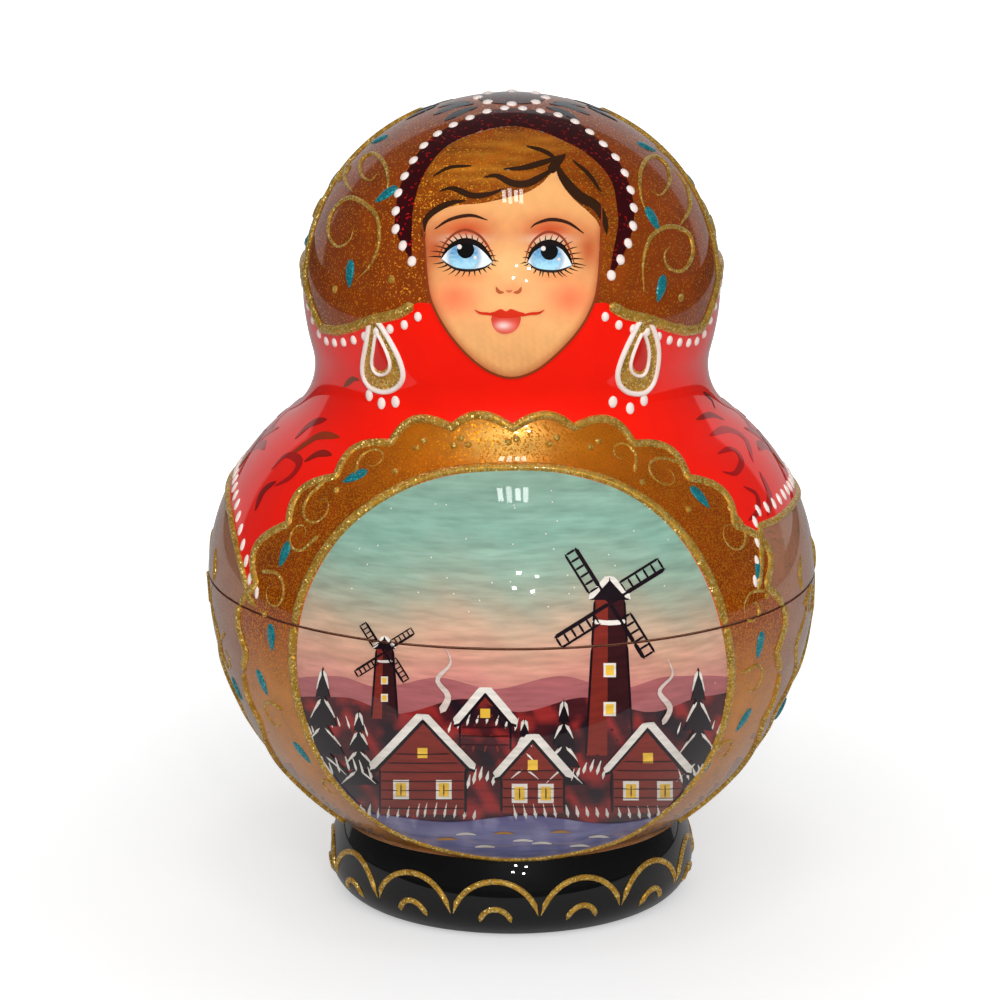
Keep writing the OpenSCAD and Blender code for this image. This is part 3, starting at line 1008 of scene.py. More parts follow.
# Dark brush strokes that spread from the crown on the viewer's right: front-view path and width
CROWN_STROKES = [([(4.6, 48.3), (7, 48), (9.6, 46.9)], 2.3), ([(4.2, 47.9), (6.2, 47.3), (8.2, 46.2)], 2.0),
                 ([(5.2, 48.5), (7.4, 48.3), (9.0, 47.8)], 1.8)]


def spot(az_degrees, z):
    """A place on the doll: degrees round it and height."""
    return math.radians(az_degrees), z


# Gold scrolls, teal drops with their turn, and gold beads on the kerchief, in the front view
HEAD_CURLS = [[(-18.9, 26.8), (-17.1, 28.8), (-16.2, 31.6), (-16.7, 34.8), (-19.6, 36.8), (-21.9, 35.1),
               (-22.4, 32.4), (-21.3, 30.8), (-19.8, 31.6), (-19.3, 33.3)],
              [(-15.4, 36.8), (-15.1, 38.9), (-15.6, 41), (-17, 42.2), (-18.4, 41.3), (-18.4, 39.6),
               (-17.3, 38.9), (-16.5, 39.7)],
              [(16.6, 34.7), (15.8, 37.1), (15.8, 40.2), (17.2, 41.9), (18.9, 40.8), (19.3, 38.7),
               (18.2, 37.1), (17.1, 37.7)],
              [(16.2, 25.2), (16.1, 28.9), (17, 31.9), (19.2, 33.3), (21.6, 32.4), (22.1, 29.8),
               (20.9, 27.9), (19.2, 28.2), (18.7, 29.8), (19.4, 30.9)],
              [(19.8, 40.4), (21.4, 38.2), (21.8, 35.6), (20.6, 33.4)],
              [(-19.4, 37.4), (-20.4, 39), (-19.9, 41.2), (-18.2, 43.2)]]
HEAD_DROPS = [((-15.4, 37.2), -40), ((-19.8, 27.5), 8), ((-16.3, 43.9), -50), ((17.3, 34.2), 8),
              ((18.3, 25.7), -25), ((16.6, 43.0), 50)]
HEAD_BEADS = [(-14.7, 26.8), (20.7, 24.6), (-21.6, 25.6), (20.2, 43.0)]
ROSETTE_R = 4.1
ROSETTE_Z = HEAD_Z + CROWN_H * math.sqrt(1 - (ROSETTE_R / HEAD_R) ** 2)


def round_back(first, last, step):
    """Degrees round the doll's back at equal steps, each with a hand that changes from one to the next."""
    for i, az in enumerate(range(first, last, step)):
        yield az if az <= 180 else az - 360, 1 if i % 2 else -1


def paint_kerchief(p):
    """Scrolls, leaf drops and a crown rosette on the kerchief."""
    p.level = 0.0
    for line in HEAD_CURLS:
        p.brushed("gold", line, 0.7, height=0.28, step=0.4)
    for place, turn in HEAD_DROPS:
        leaf(p, "teal", cast([place])[0], 3.5, 1.8, turn)
    p.dots("gold", cast(HEAD_BEADS), 0.5, 0.3)
    lift = p.over()
    for points, width in CROWN_STROKES:
        for side in (-1, 1):
            p.brushed("navy", np.array(points) * (side, 1), width, height=0.04, step=0.25, lift=lift)
    for a, hand in round_back(90, 280, 16):
        hem = float(hem_at(math.radians(a)))
        scroll(p, spot(a, hem + 5.4 + 0.8 * hand), 1.9, 90 - 30 * hand, hand)
        scroll(p, spot(a + 7, 92.5 - hand), 1.5, 90 + 25 * hand, -hand)
        leaf(p, "teal", spot(a - 7, hem + 7.5 + 2 * hand), 3.4, 1.6, 35 * hand)
        leaf(p, "teal", spot(a + 8, hem + 2.8), 3.0, 1.5, -60 * hand)
        if hem < 77.5:
            scroll(p, spot(a + 4, hem + 12.4), 1.7, 90 + 20 * hand, hand)
        leaf(p, "navy", spot(a, 97.8), 4.4, 1.7, 20 * hand, 0.15)
    around = np.radians(np.arange(0, 360, 45))
    p.dots("enamel", np.c_[around, np.full(8, ROSETTE_Z)], 0.65, 0.28, lift=SKIN + FLAT)
    p.cap("band", ROSETTE_Z)


# Pendants below the kerchief and the dots under them, in the front view
PENDANTS = [[(-16.9, 22), (-17.8, 18.7), (-18.2, 15.6), (-17.4, 13.7), (-15.6, 13), (-13.9, 13.7),
             (-13.3, 15.4), (-14.4, 18.4)],
            [(16.4, 22.2), (14.5, 19.4), (13.1, 15.9), (13.2, 14), (14.5, 12.9), (16.4, 13), (17.6, 14.9),
             (17.9, 18.7)]]
PENDANT_DOTS = [(-17.4, 12.6), (-15.9, 11.6), (-14.2, 11.8), (12.4, 11.8), (14.5, 11), (16.2, 12)]
# Leaf sprays round the shawl's sides and back: degrees round the doll and height
SIDE_SPRAYS = [(88, 56), (110, 57.5), (133, 56), (156, 57.5)]
SPRAYS = SIDE_SPRAYS + [(180, 55)] + [(-az, z) for az, z in SIDE_SPRAYS]
SPRAY_LEAF = [(0, 0), (0.9, 1.6), (1.1, 3.4), (0.2, 5.4)]
# Brush strokes on the shoulders: front-view path, width and colour
SHAWL_STROKES = [([(-26.5, 7.2), (-24.6, 9), (-22.6, 9.6)], 1.5, srgb(150, 6, 8)),
                 ([(-27.4, 5), (-25.2, 6.6), (-23.4, 7.6), (-21, 7.4)], 1.6, srgb(150, 48, 12)),
                 ([(-25.4, 4.4), (-23.6, 5.4), (-22, 5.2)], 1.4, srgb(140, 22, 10)),
                 ([(-29.4, 3.4), (-27.6, 5.2), (-26, 4.4), (-27, 2.6), (-29, 1.4)], 1.3, srgb(170, 8, 8)),
                 ([(-31.4, -1.6), (-30.4, 0.8), (-28.8, 2)], 1.4, srgb(140, 6, 10)),
                 ([(-20.6, 13.6), (-19.4, 14.6), (-18.6, 14.4)], 0.9, srgb(130, 52, 16)),
                 ([(24.2, 7.6), (26.4, 8.4), (28.6, 7.2), (29.6, 4.4)], 1.5, srgb(186, 8, 8)),
                 ([(25.2, 5.4), (27, 6), (28.2, 4.6), (27.4, 3), (25.8, 3.2)], 1.1, srgb(176, 6, 8)),
                 ([(30.4, 3.2), (31.6, 0.4), (31.4, -2.2)], 1.5, srgb(176, 8, 10)),
                 ([(28.4, 1.4), (30, 0.4), (30.2, -1.6), (29, -2.8)], 1.0, srgb(166, 8, 8)),
                 ([(22.6, 9.6), (24.4, 10.2), (26, 9.6)], 1.0, srgb(150, 20, 10)),
                 ([(23.4, 13), (24.4, 12.2), (24.9, 11)], 0.8, srgb(110, 30, 16))]


def paint_shawl(p):
    """Pendants, dark brush strokes and the dotted gold hem of the shawl."""
    p.level = 0.0
    for loop in PENDANTS:
        outline = curve(loop, 0.35 * p.coarse, closed=True)
        middle = outline.mean(0)
        closed = np.vstack([outline, outline[:2]])
        p.dome("gold", cast(outline), 0.16)
        p.stroke("enamel", cast(closed), 0.75, 0.34)
        inner = middle + (closed - middle) * (0.45, 0.55) + (0, 0.3)
        p.dome("swirl", cast(inner[:-2]), 0.24, srgb(206, 30, 20))
        p.stroke("enamel", cast(inner), 0.5, 0.42)
    p.dots("enamel", cast(PENDANT_DOTS), 0.6, 0.3, stretch=1.25)
    lift = p.over()
    for points, width, colour in SHAWL_STROKES:
        p.brushed("swirl", points, width, colour, step=0.4, lift=lift)
    for az, z in SPRAYS:
        for turn in (-70, -25, 25, 70):
            line = curve(SPRAY_LEAF, 0.4 * p.coarse) * (math.copysign(1, turn), 1)
            path = beside(spot(az, z), turned_by(line, turn))
            p.stroke("swirl", path, 1.7, FILM, srgb(176, 8, 8), brush, lift=lift)
        p.dome("swirl", beside(spot(az, z - 0.9), drop(2.6, 1.6)), FILM, srgb(126, 50, 12), lift=lift)
    for part in (np.linspace(-180, -55, 130), np.linspace(52, 180, 130)):
        az = np.radians(part)
        p.stroke("gold", np.c_[az, shawl_at(az)], 1.0, 0.4)
        spots = spaced(np.c_[az * BODY_R, shawl_at(az)], 2.4)
        p.dots("enamel", np.c_[spots[:, 0] / BODY_R, spots[:, 1] + 1.6], 0.42, 0.25, 1.9)


# Teal drops on the ring and their turn, in the front view
RING_LEAVES = [((-19.2, 2.6), -50), ((-27.8, -6.9), -10), ((-29.4, -17.1), 0), ((-30.5, -22.6), 20),
               ((-25.6, -31.2), 30), ((23.1, 0.1), 20), ((30.3, -9.1), -15), ((30.4, -18), -10),
               ((28.4, -27.2), -30), ((23.1, -33.6), -40)]
# Curls on the ring: front-view place, radius, start of the turn and hand
RING_CURLS = [((-23.6, -1.2), 2.5, 150, 1), ((-25.9, -4.6), 2.0, 320, -1), ((-29.2, -11.6), 2.4, 100, -1),
              ((-29, -26.8), 2.1, 80, 1), ((-17, 4.6), 1.9, 200, -1), ((-22, -35.6), 1.7, 40, 1),
              ((18.8, 2.9), 2.4, 60, 1), ((27, -4.4), 2.5, 30, -1), ((29.6, -13.6), 2.1, 80, 1),
              ((29.6, -22.4), 2.1, 100, -1), ((25.9, -31), 1.8, 140, -1), ((13.6, 5.4), 1.7, 330, 1)]
# Gold beads on the ring, in the front view
RING_BEADS = [(-11.6, 6.1), (-10.7, 7), (-7, 6.4), (-6.2, 7.3), (-5.3, 6.5), (-0.4, 6.8), (0.6, 7.2),
              (4.6, 6.6), (5.5, 7.4), (9.6, 6.2), (10.6, 6.9), (-14.2, 3.2), (16, 1.9), (-21.4, 0.9),
              (21.6, -1.4), (-30.2, -14.2), (31.2, -12)]


def ring_tint_and_highlight(view):
    """Colours of the gold ring: a painted highlight across the top, brown at the sides and tan below the
    seam.
    """
    low = np.clip((-15 - view[:, 1:]) / 9, 0, 1)
    return blended(view, RING_GOLD, (low, srgb(214, 138, 60)),
                   # Painted highlight: light from above on the ring's top, brightest at its middle
                   (0.85 * gauss(view, 0, 6, 18, 6.5), srgb(232, 134, 20)),
                   (0.9 * gauss(view, -0.6, 7, 5, 3), srgb(255, 206, 110)))


# The ring's inner and outer edge in the front view, and the middle that its angles are taken about
RING_IN = [(0.4, 3.4), (7.2, 2.9), (13.9, 0.7), (19.7, -3.7), (23.9, -10.1), (26.1, -17.4), (26.4, -23.6),
           (24.6, -30.3), (20.4, -36.4), (14.5, -41), (7.2, -43.3), (-0.2, -44), (-7.5, -43),
           (-14.3, -40.6), (-19.8, -36.4), (-23.7, -30.7), (-25.9, -24.2), (-26.3, -17.4), (-24.7, -10.7),
           (-20.8, -4.5), (-15.1, 0), (-8.2, 2.7)]
RING_RIGHT = [(5.6, 9.6), (11.5, 9.0), (17, 6.6), (22.5, 2.9), (26.8, -1.2), (30.4, -6), (32.4, -11.4),
              (33, -17.4), (32.2, -23.6), (29.9, -29.7), (26.4, -35), (21.5, -39.6), (11, -44.2)]
RING_OUT = [(0.2, 9.4)] + RING_RIGHT + [(0, -45.4)] + [(-x, y) for x, y in RING_RIGHT[::-1]]
RING_C = np.array([0.1, -19.0])
SCALLOPS = 24


def polar(points):
    """Angles and distances of a loop about the ring's middle."""
    p = curve(points, 0.3, closed=True) - RING_C
    a = np.arctan2(p[:, 1], p[:, 0])
    order = np.argsort(a)
    return a[order], np.hypot(p[:, 0], p[:, 1])[order]


RING_POLAR = polar(RING_IN), polar(RING_OUT)


def ring_point(angle, share):
    """Front-view place between the ring's inner edge (0) and outer edge (1)."""
    inner, outer = (np.interp(angle, a, r, period=2 * math.pi) for a, r in RING_POLAR)
    r = inner + (outer - inner) * share
    return RING_C + np.stack([r * np.cos(angle), r * np.sin(angle)], -1)


def lobes(angle):
    """Share of the ring's width at its scalloped outer edge, which is calmer below the seam."""
    above = 0.3 + 0.7 * np.clip((np.sin(angle) + 0.1) / 0.3, 0, 1)
    fading = np.clip((np.sin(angle) + 0.75) / 0.3, 0, 1)
    return 1 + 0.24 * above * fading * (np.abs(np.sin(angle * SCALLOPS / 2)) - 0.6)


def paint_ring(p):
    """The gold frame of the medallion, with scalloped edge, curls, drops and beads."""
    p.level = 0.0
    angle = np.linspace(-math.pi, math.pi, int(420 / p.coarse), endpoint=False)
    # The ring's paint carries a painted highlight across its top
    p.patch("ring", ring_point(angle, lobes(angle)), ring_tint_and_highlight, 0.9 * p.coarse,
            holes=[ring_point(angle[::2], 0.0)])
    closed = np.concatenate([angle, angle[:2]])
    p.stroke("gold", cast(ring_point(closed, 0.06)), 1.3, 0.5)
    for first, last, width in ((-4, 184, 1.2), (-46, -4, 0.6), (184, 226, 0.6)):
        rim = np.radians(np.linspace(first, last, int((last - first) * 1.4 / p.coarse)))
        p.stroke("gold", cast(ring_point(rim, lobes(rim))), width, 0.42)
    for place, radius, start, hand in RING_CURLS:
        curl(p, cast([place])[0], radius, start, hand, 0.6, 1.2, 2.4)
    for place, turn in RING_LEAVES:
        leaf(p, "teal", cast([place])[0], 3.6, 1.9, turn)
    p.dots("gold", cast(RING_BEADS), 0.45, 0.35)


# The medallion's picture: a winter village at dusk

# Colours of the sky by height in the front view
SKY = [(4, (148, 184, 164)), (-4, (144, 186, 168)), (-9, (158, 184, 164)), (-12.5, (178, 176, 154)),
       (-16, (218, 182, 154)), (-19, (230, 172, 146)), (-23, (228, 150, 138)), (-27, (206, 120, 122)),
       (-46, (170, 100, 110))]
SNOW = srgb(240, 232, 222)
LOG = srgb(132, 44, 34)
LOG_H = 1.1
LOG_DARK = srgb(58, 22, 26)
FOREST = srgb(76, 26, 32)
NIGHT = srgb(28, 16, 24)
ICE = srgb(126, 128, 176)
LAMP = srgb(250, 200, 70)
# Degrees at which a mill's sails stand
SAILS = (32, 122, 212, 302)


def mottled(view, pitch):
    """A smooth uneven field from 0 to 1."""
    x, y = view[:, :1] / pitch, view[:, 1:] / pitch
    wave = np.sin(x * 1.3 + 2 * np.sin(y * 0.9)) + np.sin(y * 2.1 - 1.7 * np.sin(x * 0.7))
    wave = wave + np.sin(x * 2.9 + y * 1.9)
    return np.clip(0.5 + wave / 4, 0, 1)


def forest_tint(view):
    """Bare woods in patches of red and dark."""
    red = np.clip((mottled(view, 1.6) - 0.52) * 5, 0, 1)
    return blended(view, FOREST, (red, srgb(160, 44, 42)),
                   (np.clip((mottled(view + 9, 2.3) - 0.6) * 4, 0, 1), srgb(38, 20, 30)))


def sky_tint(view):
    """Bands of dusk with fine streaks."""
    heights = np.array([y for y, _ in SKY])[::-1]
    colours = np.array([srgb(*c) for _, c in SKY])[::-1]
    x, y = view[:, 0], view[:, 1]
    wave = y + 0.9 * np.sin(x * 0.35 + 1.0) + 0.35 * np.sin(x * 1.1 + y)
    out = np.column_stack([np.interp(wave, heights, colours[:, i]) for i in range(3)])
    streak = 0.07 * np.sin(y * 5.1 + 1.3 * np.sin(x * 0.23)) + 0.04 * np.sin(y * 11.7)
    return 0.9 * out * (1 + streak[:, None])


def ground_tint(view):
    """Ice with pale patches."""
    y = view[:, 1:]
    return blended(view, ICE, (np.clip((y + 41.5) / 2, 0, 1), srgb(104, 98, 146)),
                   (0.6 * np.clip((mottled(view, 1.1) - 0.6) * 4, 0, 1), srgb(168, 162, 196)))


# How far the picture's edge reaches under the ring, as a share of the ring's width
FRAME_SHARE = -0.02


class Picture:
    """Flat shapes and strokes of the medallion's picture, kept inside its frame."""

    def __init__(self, painting, mirror):
        self.p, self.mirror = painting, mirror
        self.frame = ring_point(np.linspace(-math.pi, math.pi, 160, endpoint=False), FRAME_SHARE)

    def lift(self, over):
        """Height of paint some layers over the last group."""
        return SKIN + FLAT + self.p.level + over * LAYER

    def flip(self, points):
        """Points of the picture, mirrored on every second doll."""
        return np.asarray(points, float) * (self.mirror, 1)

    def inside(self, loop):
        """Pulls points that pass the frame back onto it."""
        a = np.arctan2(loop[:, 1] - RING_C[1], loop[:, 0] - RING_C[0])
        limit = ring_point(a, FRAME_SHARE)
        out = np.hypot(*(loop - RING_C).T) > np.hypot(*(limit - RING_C).T)
        return np.where(out[:, None], limit, loop)

    def shape(self, points, colour, step=1.4, smooth=False, over=0):
        """A flat shape, some layers over the last group."""
        step *= self.p.coarse
        loop = curve(self.flip(points), step * 0.5, True) if smooth else straight(self.flip(points), step)
        self.p.patch("scene", self.inside(loop), colour, step, lift=self.lift(over))

    def line(self, points, width, colour, taper=round_ends, over=0):
        """A smooth brush stroke."""
        path = self.inside(curve(self.flip(points), 0.45 * self.p.coarse))
        self.p.stroke("scene", cast(path), width, 0.05, colour, taper, lift=self.lift(over), across=5)

    def box(self, x, y, half_w, half_h, colour, over):
        """A flat rectangle about its middle."""
        self.shape([(x - half_w, y - half_h), (x + half_w, y - half_h), (x + half_w, y + half_h),
                    (x - half_w, y + half_h)], colour, over=over)

    def fir(self, x, foot, height, width, tiers=4):
        """A fir in tiers with snow on its boughs."""
        right = []
        for i in range(tiers):
            top, low = foot + height * (1 - i / tiers), foot + height * (1 - (i + 1.25) / tiers)
            right += [(0.16 * width * i / tiers, top - 0.05 * height),
                      (0.5 * width * (i + 1) / tiers, max(low, foot))]
        self.shape([(x, foot + height)] + [(x + a, y) for a, y in right]
                   + [(x - a, y) for a, y in right[::-1]], NIGHT)
        for i in range(tiers):
            y = foot + height * (1 - (i + 0.95) / tiers)
            reach = 0.42 * width * (i + 1) / tiers
            for side in (-1, 1):
                self.line([(x + side * 0.15 * reach, y + 0.16 * height),
                           (x + side * 0.6 * reach, y + 0.08 * height), (x + side * reach, y)], 0.55,
                          SNOW, comma, over=1)

    def house(self, x, y, width, wall, roof, windows):
        """A log house seen from its gable, with snow on the roof and lit windows."""
        half = width / 2
        self.shape([(x - half, y), (x + half, y), (x + half, y + wall), (x, y + wall + roof),
                    (x - half, y + wall)], LOG)
        for i in range(1, int((wall + 0.4 * roof) / LOG_H) + 1):
            reach = half * min(1, (wall + roof - LOG_H * i) / roof)
            self.line([(x - reach, y + LOG_H * i - 0.3), (x, y + LOG_H * i - 0.35),
                       (x + reach, y + LOG_H * i - 0.3)], 0.24, LOG_DARK, over=1)
        for w in windows:
            wx, wy = x + w * half, y + wall * 0.55
            self.box(wx, wy, 0.95, 1.15, SNOW, 3)
            self.box(wx, wy, 0.62, 0.82, LAMP, 4)
            self.line([(wx, wy - 0.8), (wx, wy), (wx, wy + 0.8)], 0.2, LOG_DARK, over=5)
        self.box(x, y + wall + 0.32 * roof, 0.6, 0.6, LAMP, 3)
        eave = half * 1.22
        for side in (-1, 1):
            slope = [(x, y + wall + roof + 0.25), (x + side * eave * 0.5, y + wall + roof * 0.48),
                     (x + side * eave, y + wall - 0.4)]
            self.line(slope, 1.3, NIGHT, over=3)
            self.line([(a, b + 0.35) for a, b in slope], 1.15, SNOW, over=5)
            self.line([(x + side * half, y), (x + side * half, y + wall / 2),
                       (x + side * half, y + wall)], 0.32, NIGHT, over=3)

    def mill(self, x, y, height, size=1.0):
        """A wooden mill with four sails."""
        top = y + height
        wide, slim = 2.9 * size, 1.8 * size
        self.shape([(x - wide, y), (x + wide, y), (x + slim, top), (x - slim, top)], LOG_DARK)
        self.shape([(x - wide, y), (x - 0.3, y), (x - 0.2, top), (x - slim, top)], LOG, over=1)
        self.shape([(x - 1.35 * slim, top), (x + 1.35 * slim, top), (x, top + 2.8 * size)], NIGHT, over=2)
        for side in (-1, 1):
            self.line([(x, top + 2.9 * size), (x + side * 0.7 * slim, top + 1.5 * size),
                       (x + side * 1.4 * slim, top + 0.1)], 0.8 * size, SNOW, over=4)
            self.line([(x + side * slim, top), (x + side * (wide + slim) / 2, (y + top) / 2),
                       (x + side * wide, y)], 0.34, NIGHT, over=3)
        self.line([(x - slim * 1.2, top - 2.6 * size), (x, top - 2.8 * size),
                   (x + slim * 1.2, top - 2.6 * size)], 0.7 * size, SNOW, over=3)
        for k in (0.3, 0.55):
            self.box(x, y + height * k, 0.75 * size, 0.85 * size, SNOW, 3)
            self.box(x, y + height * k, 0.48 * size, 0.6 * size, LAMP, 4)
        hub = np.array([x, top - 0.4])
        for a in SAILS:
            out = np.array([math.cos(math.radians(a)), math.sin(math.radians(a))]) * size
            side = np.array([-out[1], out[0]])
            self.line([hub, hub + out * 4, hub + out * 8], 0.5 * size, NIGHT, over=6)
            self.line([hub + out * 2.2 + side * 1.5, hub + out * 5 + side * 1.5,
                       hub + out * 8 + side * 1.5], 0.3 * size, NIGHT, over=6)
            for k in np.linspace(2.4, 7.8, 6):
                self.line([hub + out * k, hub + out * k + side * 0.75, hub + out * k + side * 1.5],
                          0.28 * size, NIGHT, over=6)

    def dabs(self, ridge, count, length, lean):
        """Short strokes of snow side by side along a ridge."""
        line = curve(ridge, 0.3)
        for f in (np.arange(count) + 0.5) / count:
            x, y = line[int(f * (len(line) - 1))]
            size = length * (0.75 + 0.5 * abs(math.sin(31 * f + x)))
            self.line([(x, y), (x + lean * 0.5 * size, y + 0.55 * size), (x + lean * size, y + size)],
                      0.55, SNOW, comma, over=1)


# Snowy ridges in the picture: path, number of dabs and their lean
RIDGES = [([(-25.5, -29.5), (-21, -28), (-17, -29.4)], 8, -0.3),
          ([(-8, -28.8), (-4, -27.6), (1, -28.6)], 8, 0.3), ([(20, -29), (23, -28), (26, -29.4)], 6, 0.3),
          ([(-24, -34.6), (-19.5, -33.2), (-16.5, -34.6)], 8, -0.3),
          ([(-5.6, -35.6), (-3.6, -34.4), (-1.8, -35.4)], 5, 0.2),
          ([(7, -34.6), (9.5, -33.4), (11.6, -34.6)], 6, 0.3),
          ([(20.6, -35), (22.6, -34), (24.4, -35.2)], 5, -0.3),
          ([(-19, -39.2), (-10, -38.9), (-4, -39.3)], 13, 0.2),
          ([(0, -39.2), (9, -38.9), (19, -39.2)], 15, -0.2)]


def paint_picture(p, mirror):
    """A winter village at dusk."""
    p.level = 0.0
    rich = p.scale > 0.25
    pic = Picture(p, mirror)
    p.patch("scene", pic.frame, sky_tint, 1.0 * p.coarse)
    pic.shape([(-30, -24), (-22, -21.8), (-16, -23.2), (-9, -22), (-2, -23.4), (6, -21.8), (13, -23.4),
               (20, -21.8), (30, -23.5), (30, -36), (0, -37), (-30, -36)], srgb(178, 102, 104),
              smooth=True, over=1)
    pic.shape([(-30, -27), (-21, -24.4), (-14, -26.4), (-6, -24.6), (1, -26.2), (9, -24.4), (17, -26.2),
               (24, -24.2), (30, -26), (30, -46), (0, -48), (-30, -46)], forest_tint, 0.9, smooth=True,
              over=2)
    p.level = 3 * LAYER
    if rich:
        for ridge, count, lean in RIDGES[:3]:
            pic.dabs(ridge, count, 1.3, lean)
    pic.mill(12, -31.5, 19)
    pic.mill(-15.5, -27, 8.5, 0.55)
    pic.house(-3.2, -31, 6.2, 3.4, 3.8, ())
    p.level = 10 * LAYER
    for x, foot, height, width in ((-23, -34, 14, 7), (-18.6, -35, 9.5, 5), (22.8, -35, 15, 7),
                                   (6.4, -35, 11, 5.4), (1.6, -34.5, 8, 4.4)):
        pic.fir(x, foot, height, width)
    pic.shape([(-30, -39.2), (-18, -38.6), (-8, -39.6), (2, -38.8), (12, -39.8), (21, -38.6), (30, -39.5),
               (30, -46), (0, -48), (-30, -46)], ground_tint, smooth=True)
    p.level = 12 * LAYER
    pic.house(-10.8, -38.6, 10.4, 5.6, 6.0, (-0.5, 0.5))
    pic.house(2.6, -38.4, 7.6, 4.4, 4.6, (-0.42, 0.42))
    pic.house(16.6, -38.4, 8.6, 5.0, 5.4, (-0.48, 0.48))
    if rich:
        for ridge, count, lean in RIDGES[3:]:
            pic.dabs(ridge, count, 1.5, lean)
    p.level = 18 * LAYER
    for i in range(9):
        x, y = -9 + 2.3 * i, -41.6 + 0.9 * math.sin(i * 2.4)
        pic.line([(x, y), (x + 1.2, y + 0.12), (x + 2.4, y)], 0.45, SNOW if i % 3 else srgb(196, 142, 70),
                 brush)
    for x, y in ((-8.6, -26.2), (18.4, -27.6)):
        pic.line([(x, y), (x + 0.9, y + 2), (x - 0.4, y + 4), (x + 1.2, y + 6), (x + 0.6, y + 8)], 0.9,
                 srgb(226, 206, 196), comma)
    flecks = RNG.uniform((-20, -14), (20, 1), (40, 2))
    p.dots("enamel", cast(pic.inside(flecks)), 0.09, 0.05, lift=SKIN + FLAT + LAYER)


# A wavy line on the belly, in millimetres beside and above its middle
SIDE_WAVE = np.array([(0, 13), (1.5, 10), (-1.4, 6), (1.5, 2), (-1.5, -2.5), (1.3, -7), (-1.0, -11),
                      (0, -16)])


def paint_side(p):
    """Gold wavy lines, curls and leaves on the belly's sides and back."""
    for a, hand in round_back(72, 292, 14):
        path = curve(SIDE_WAVE * (hand, 1), 0.5 * p.coarse)
        p.stroke("gold", beside(spot(a, 33), path), 0.8, 0.28, taper=brush)
        curl(p, spot(a + 6, 36 - 3 * hand), 2.2, 120, hand, 0.55)
        leaf(p, "teal", spot(a + 7, 27 + 2 * hand), 3.2, 1.4, 20 * hand)


# Gold arches on the foot: how many, and how far the first is turned from the front
ARCHES = 13
ARCH_TURN = math.radians(-5)


def paint_foot(p):
    """Two rows of gold arches round the foot."""
    for i in range(ARCHES):
        centre = 2 * math.pi * i / ARCHES + ARCH_TURN
        for reach, base, height, width in ((0.97, 2.6, 5.2, 0.8), (0.36, 2.2, 2.2, 0.8)):
            a = np.linspace(-1, 1, max(9, int(24 / p.coarse)))
            path = np.c_[centre + a * reach * math.pi / ARCHES, base + height * np.sqrt(1 - 0.97 * a * a)]
            p.stroke("gold", path, width, 0.28, surface=FOOT)


SIZES = ["outer", "second", "third", "fourth", "fifth", "sixth"]


def dolls():
    """Each doll's painting, placed and scaled by its CAD nodes."""
    for name in SIZES:
        low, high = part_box(f"{name}_doll_bottom")
        yield Painting(f"{name}_doll", (high.x - low.x) / (2 * BODY_R * MM), low.z / MM,
                       [f"{name}_doll_bottom", f"{name}_doll_top"])
    low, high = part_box("seed_doll")
    yield Painting("seed_doll", (high.x - low.x) / (2 * BODY_R * MM), low.z / MM, ["seed_doll"])


for number, doll in enumerate(dolls()):
    skins(doll)
    paint_ring(doll)
    paint_picture(doll, -1 if number % 2 else 1)
    paint_head(doll)
    paint_kerchief(doll)
    paint_shawl(doll)
    paint_side(doll)
    paint_foot(doll)
    doll.build()

for cad_node in frame["nodes"].values():
    cad_node.data.materials.clear()
    cad_node.data.materials.append(FINISHES["linden"])


# Floor, light and camera
# Bright part of the floor in mirror images: metres to each side and to the front
SHEET_SIDE = 0.3
SHEET_FRONT = -0.06
# The floor's own glow to the camera: where it starts and ends to rise in metres from the doll's middle, and
# its least share of white, which leaves the shadow
SHADOW_NEAR = 0.02
SHADOW_FAR = 0.2
SHADOW_GLOW = 0.48
# Brightness of the room behind the camera and behind the doll
ROOM_DIM = 0.065
ROOM_WHITE = 0.48
# Ceiling tubes: metres aside, and length in metres
TUBES = [(-0.06, 0.13), (-0.02, 0.16), (0.02, 0.12), (0.055, 0.15)]
# Lamps beside the camera: degrees aside and up
SPARKS = [(3, 28), (10, 26), (1, 20), (8, 18)]
# Soft lamps: name, degrees aside and up, distance and size in metres, and watts
SOFT_LAMPS = [("left_wall", -95, 15, 0.8, (0.7, 0.7), 0.75),
              ("right_wall", 95, 15, 0.8, (0.7, 0.7), 1.0),
              ("fill", 0, 32, 0.9, (0.8, 0.8), 6.4),
              ("bounce", 0, -14, 0.7, (0.6, 0.3), 0.8),
              ("back_fill", 180, 30, 0.9, (0.8, 0.8), 2.6)]


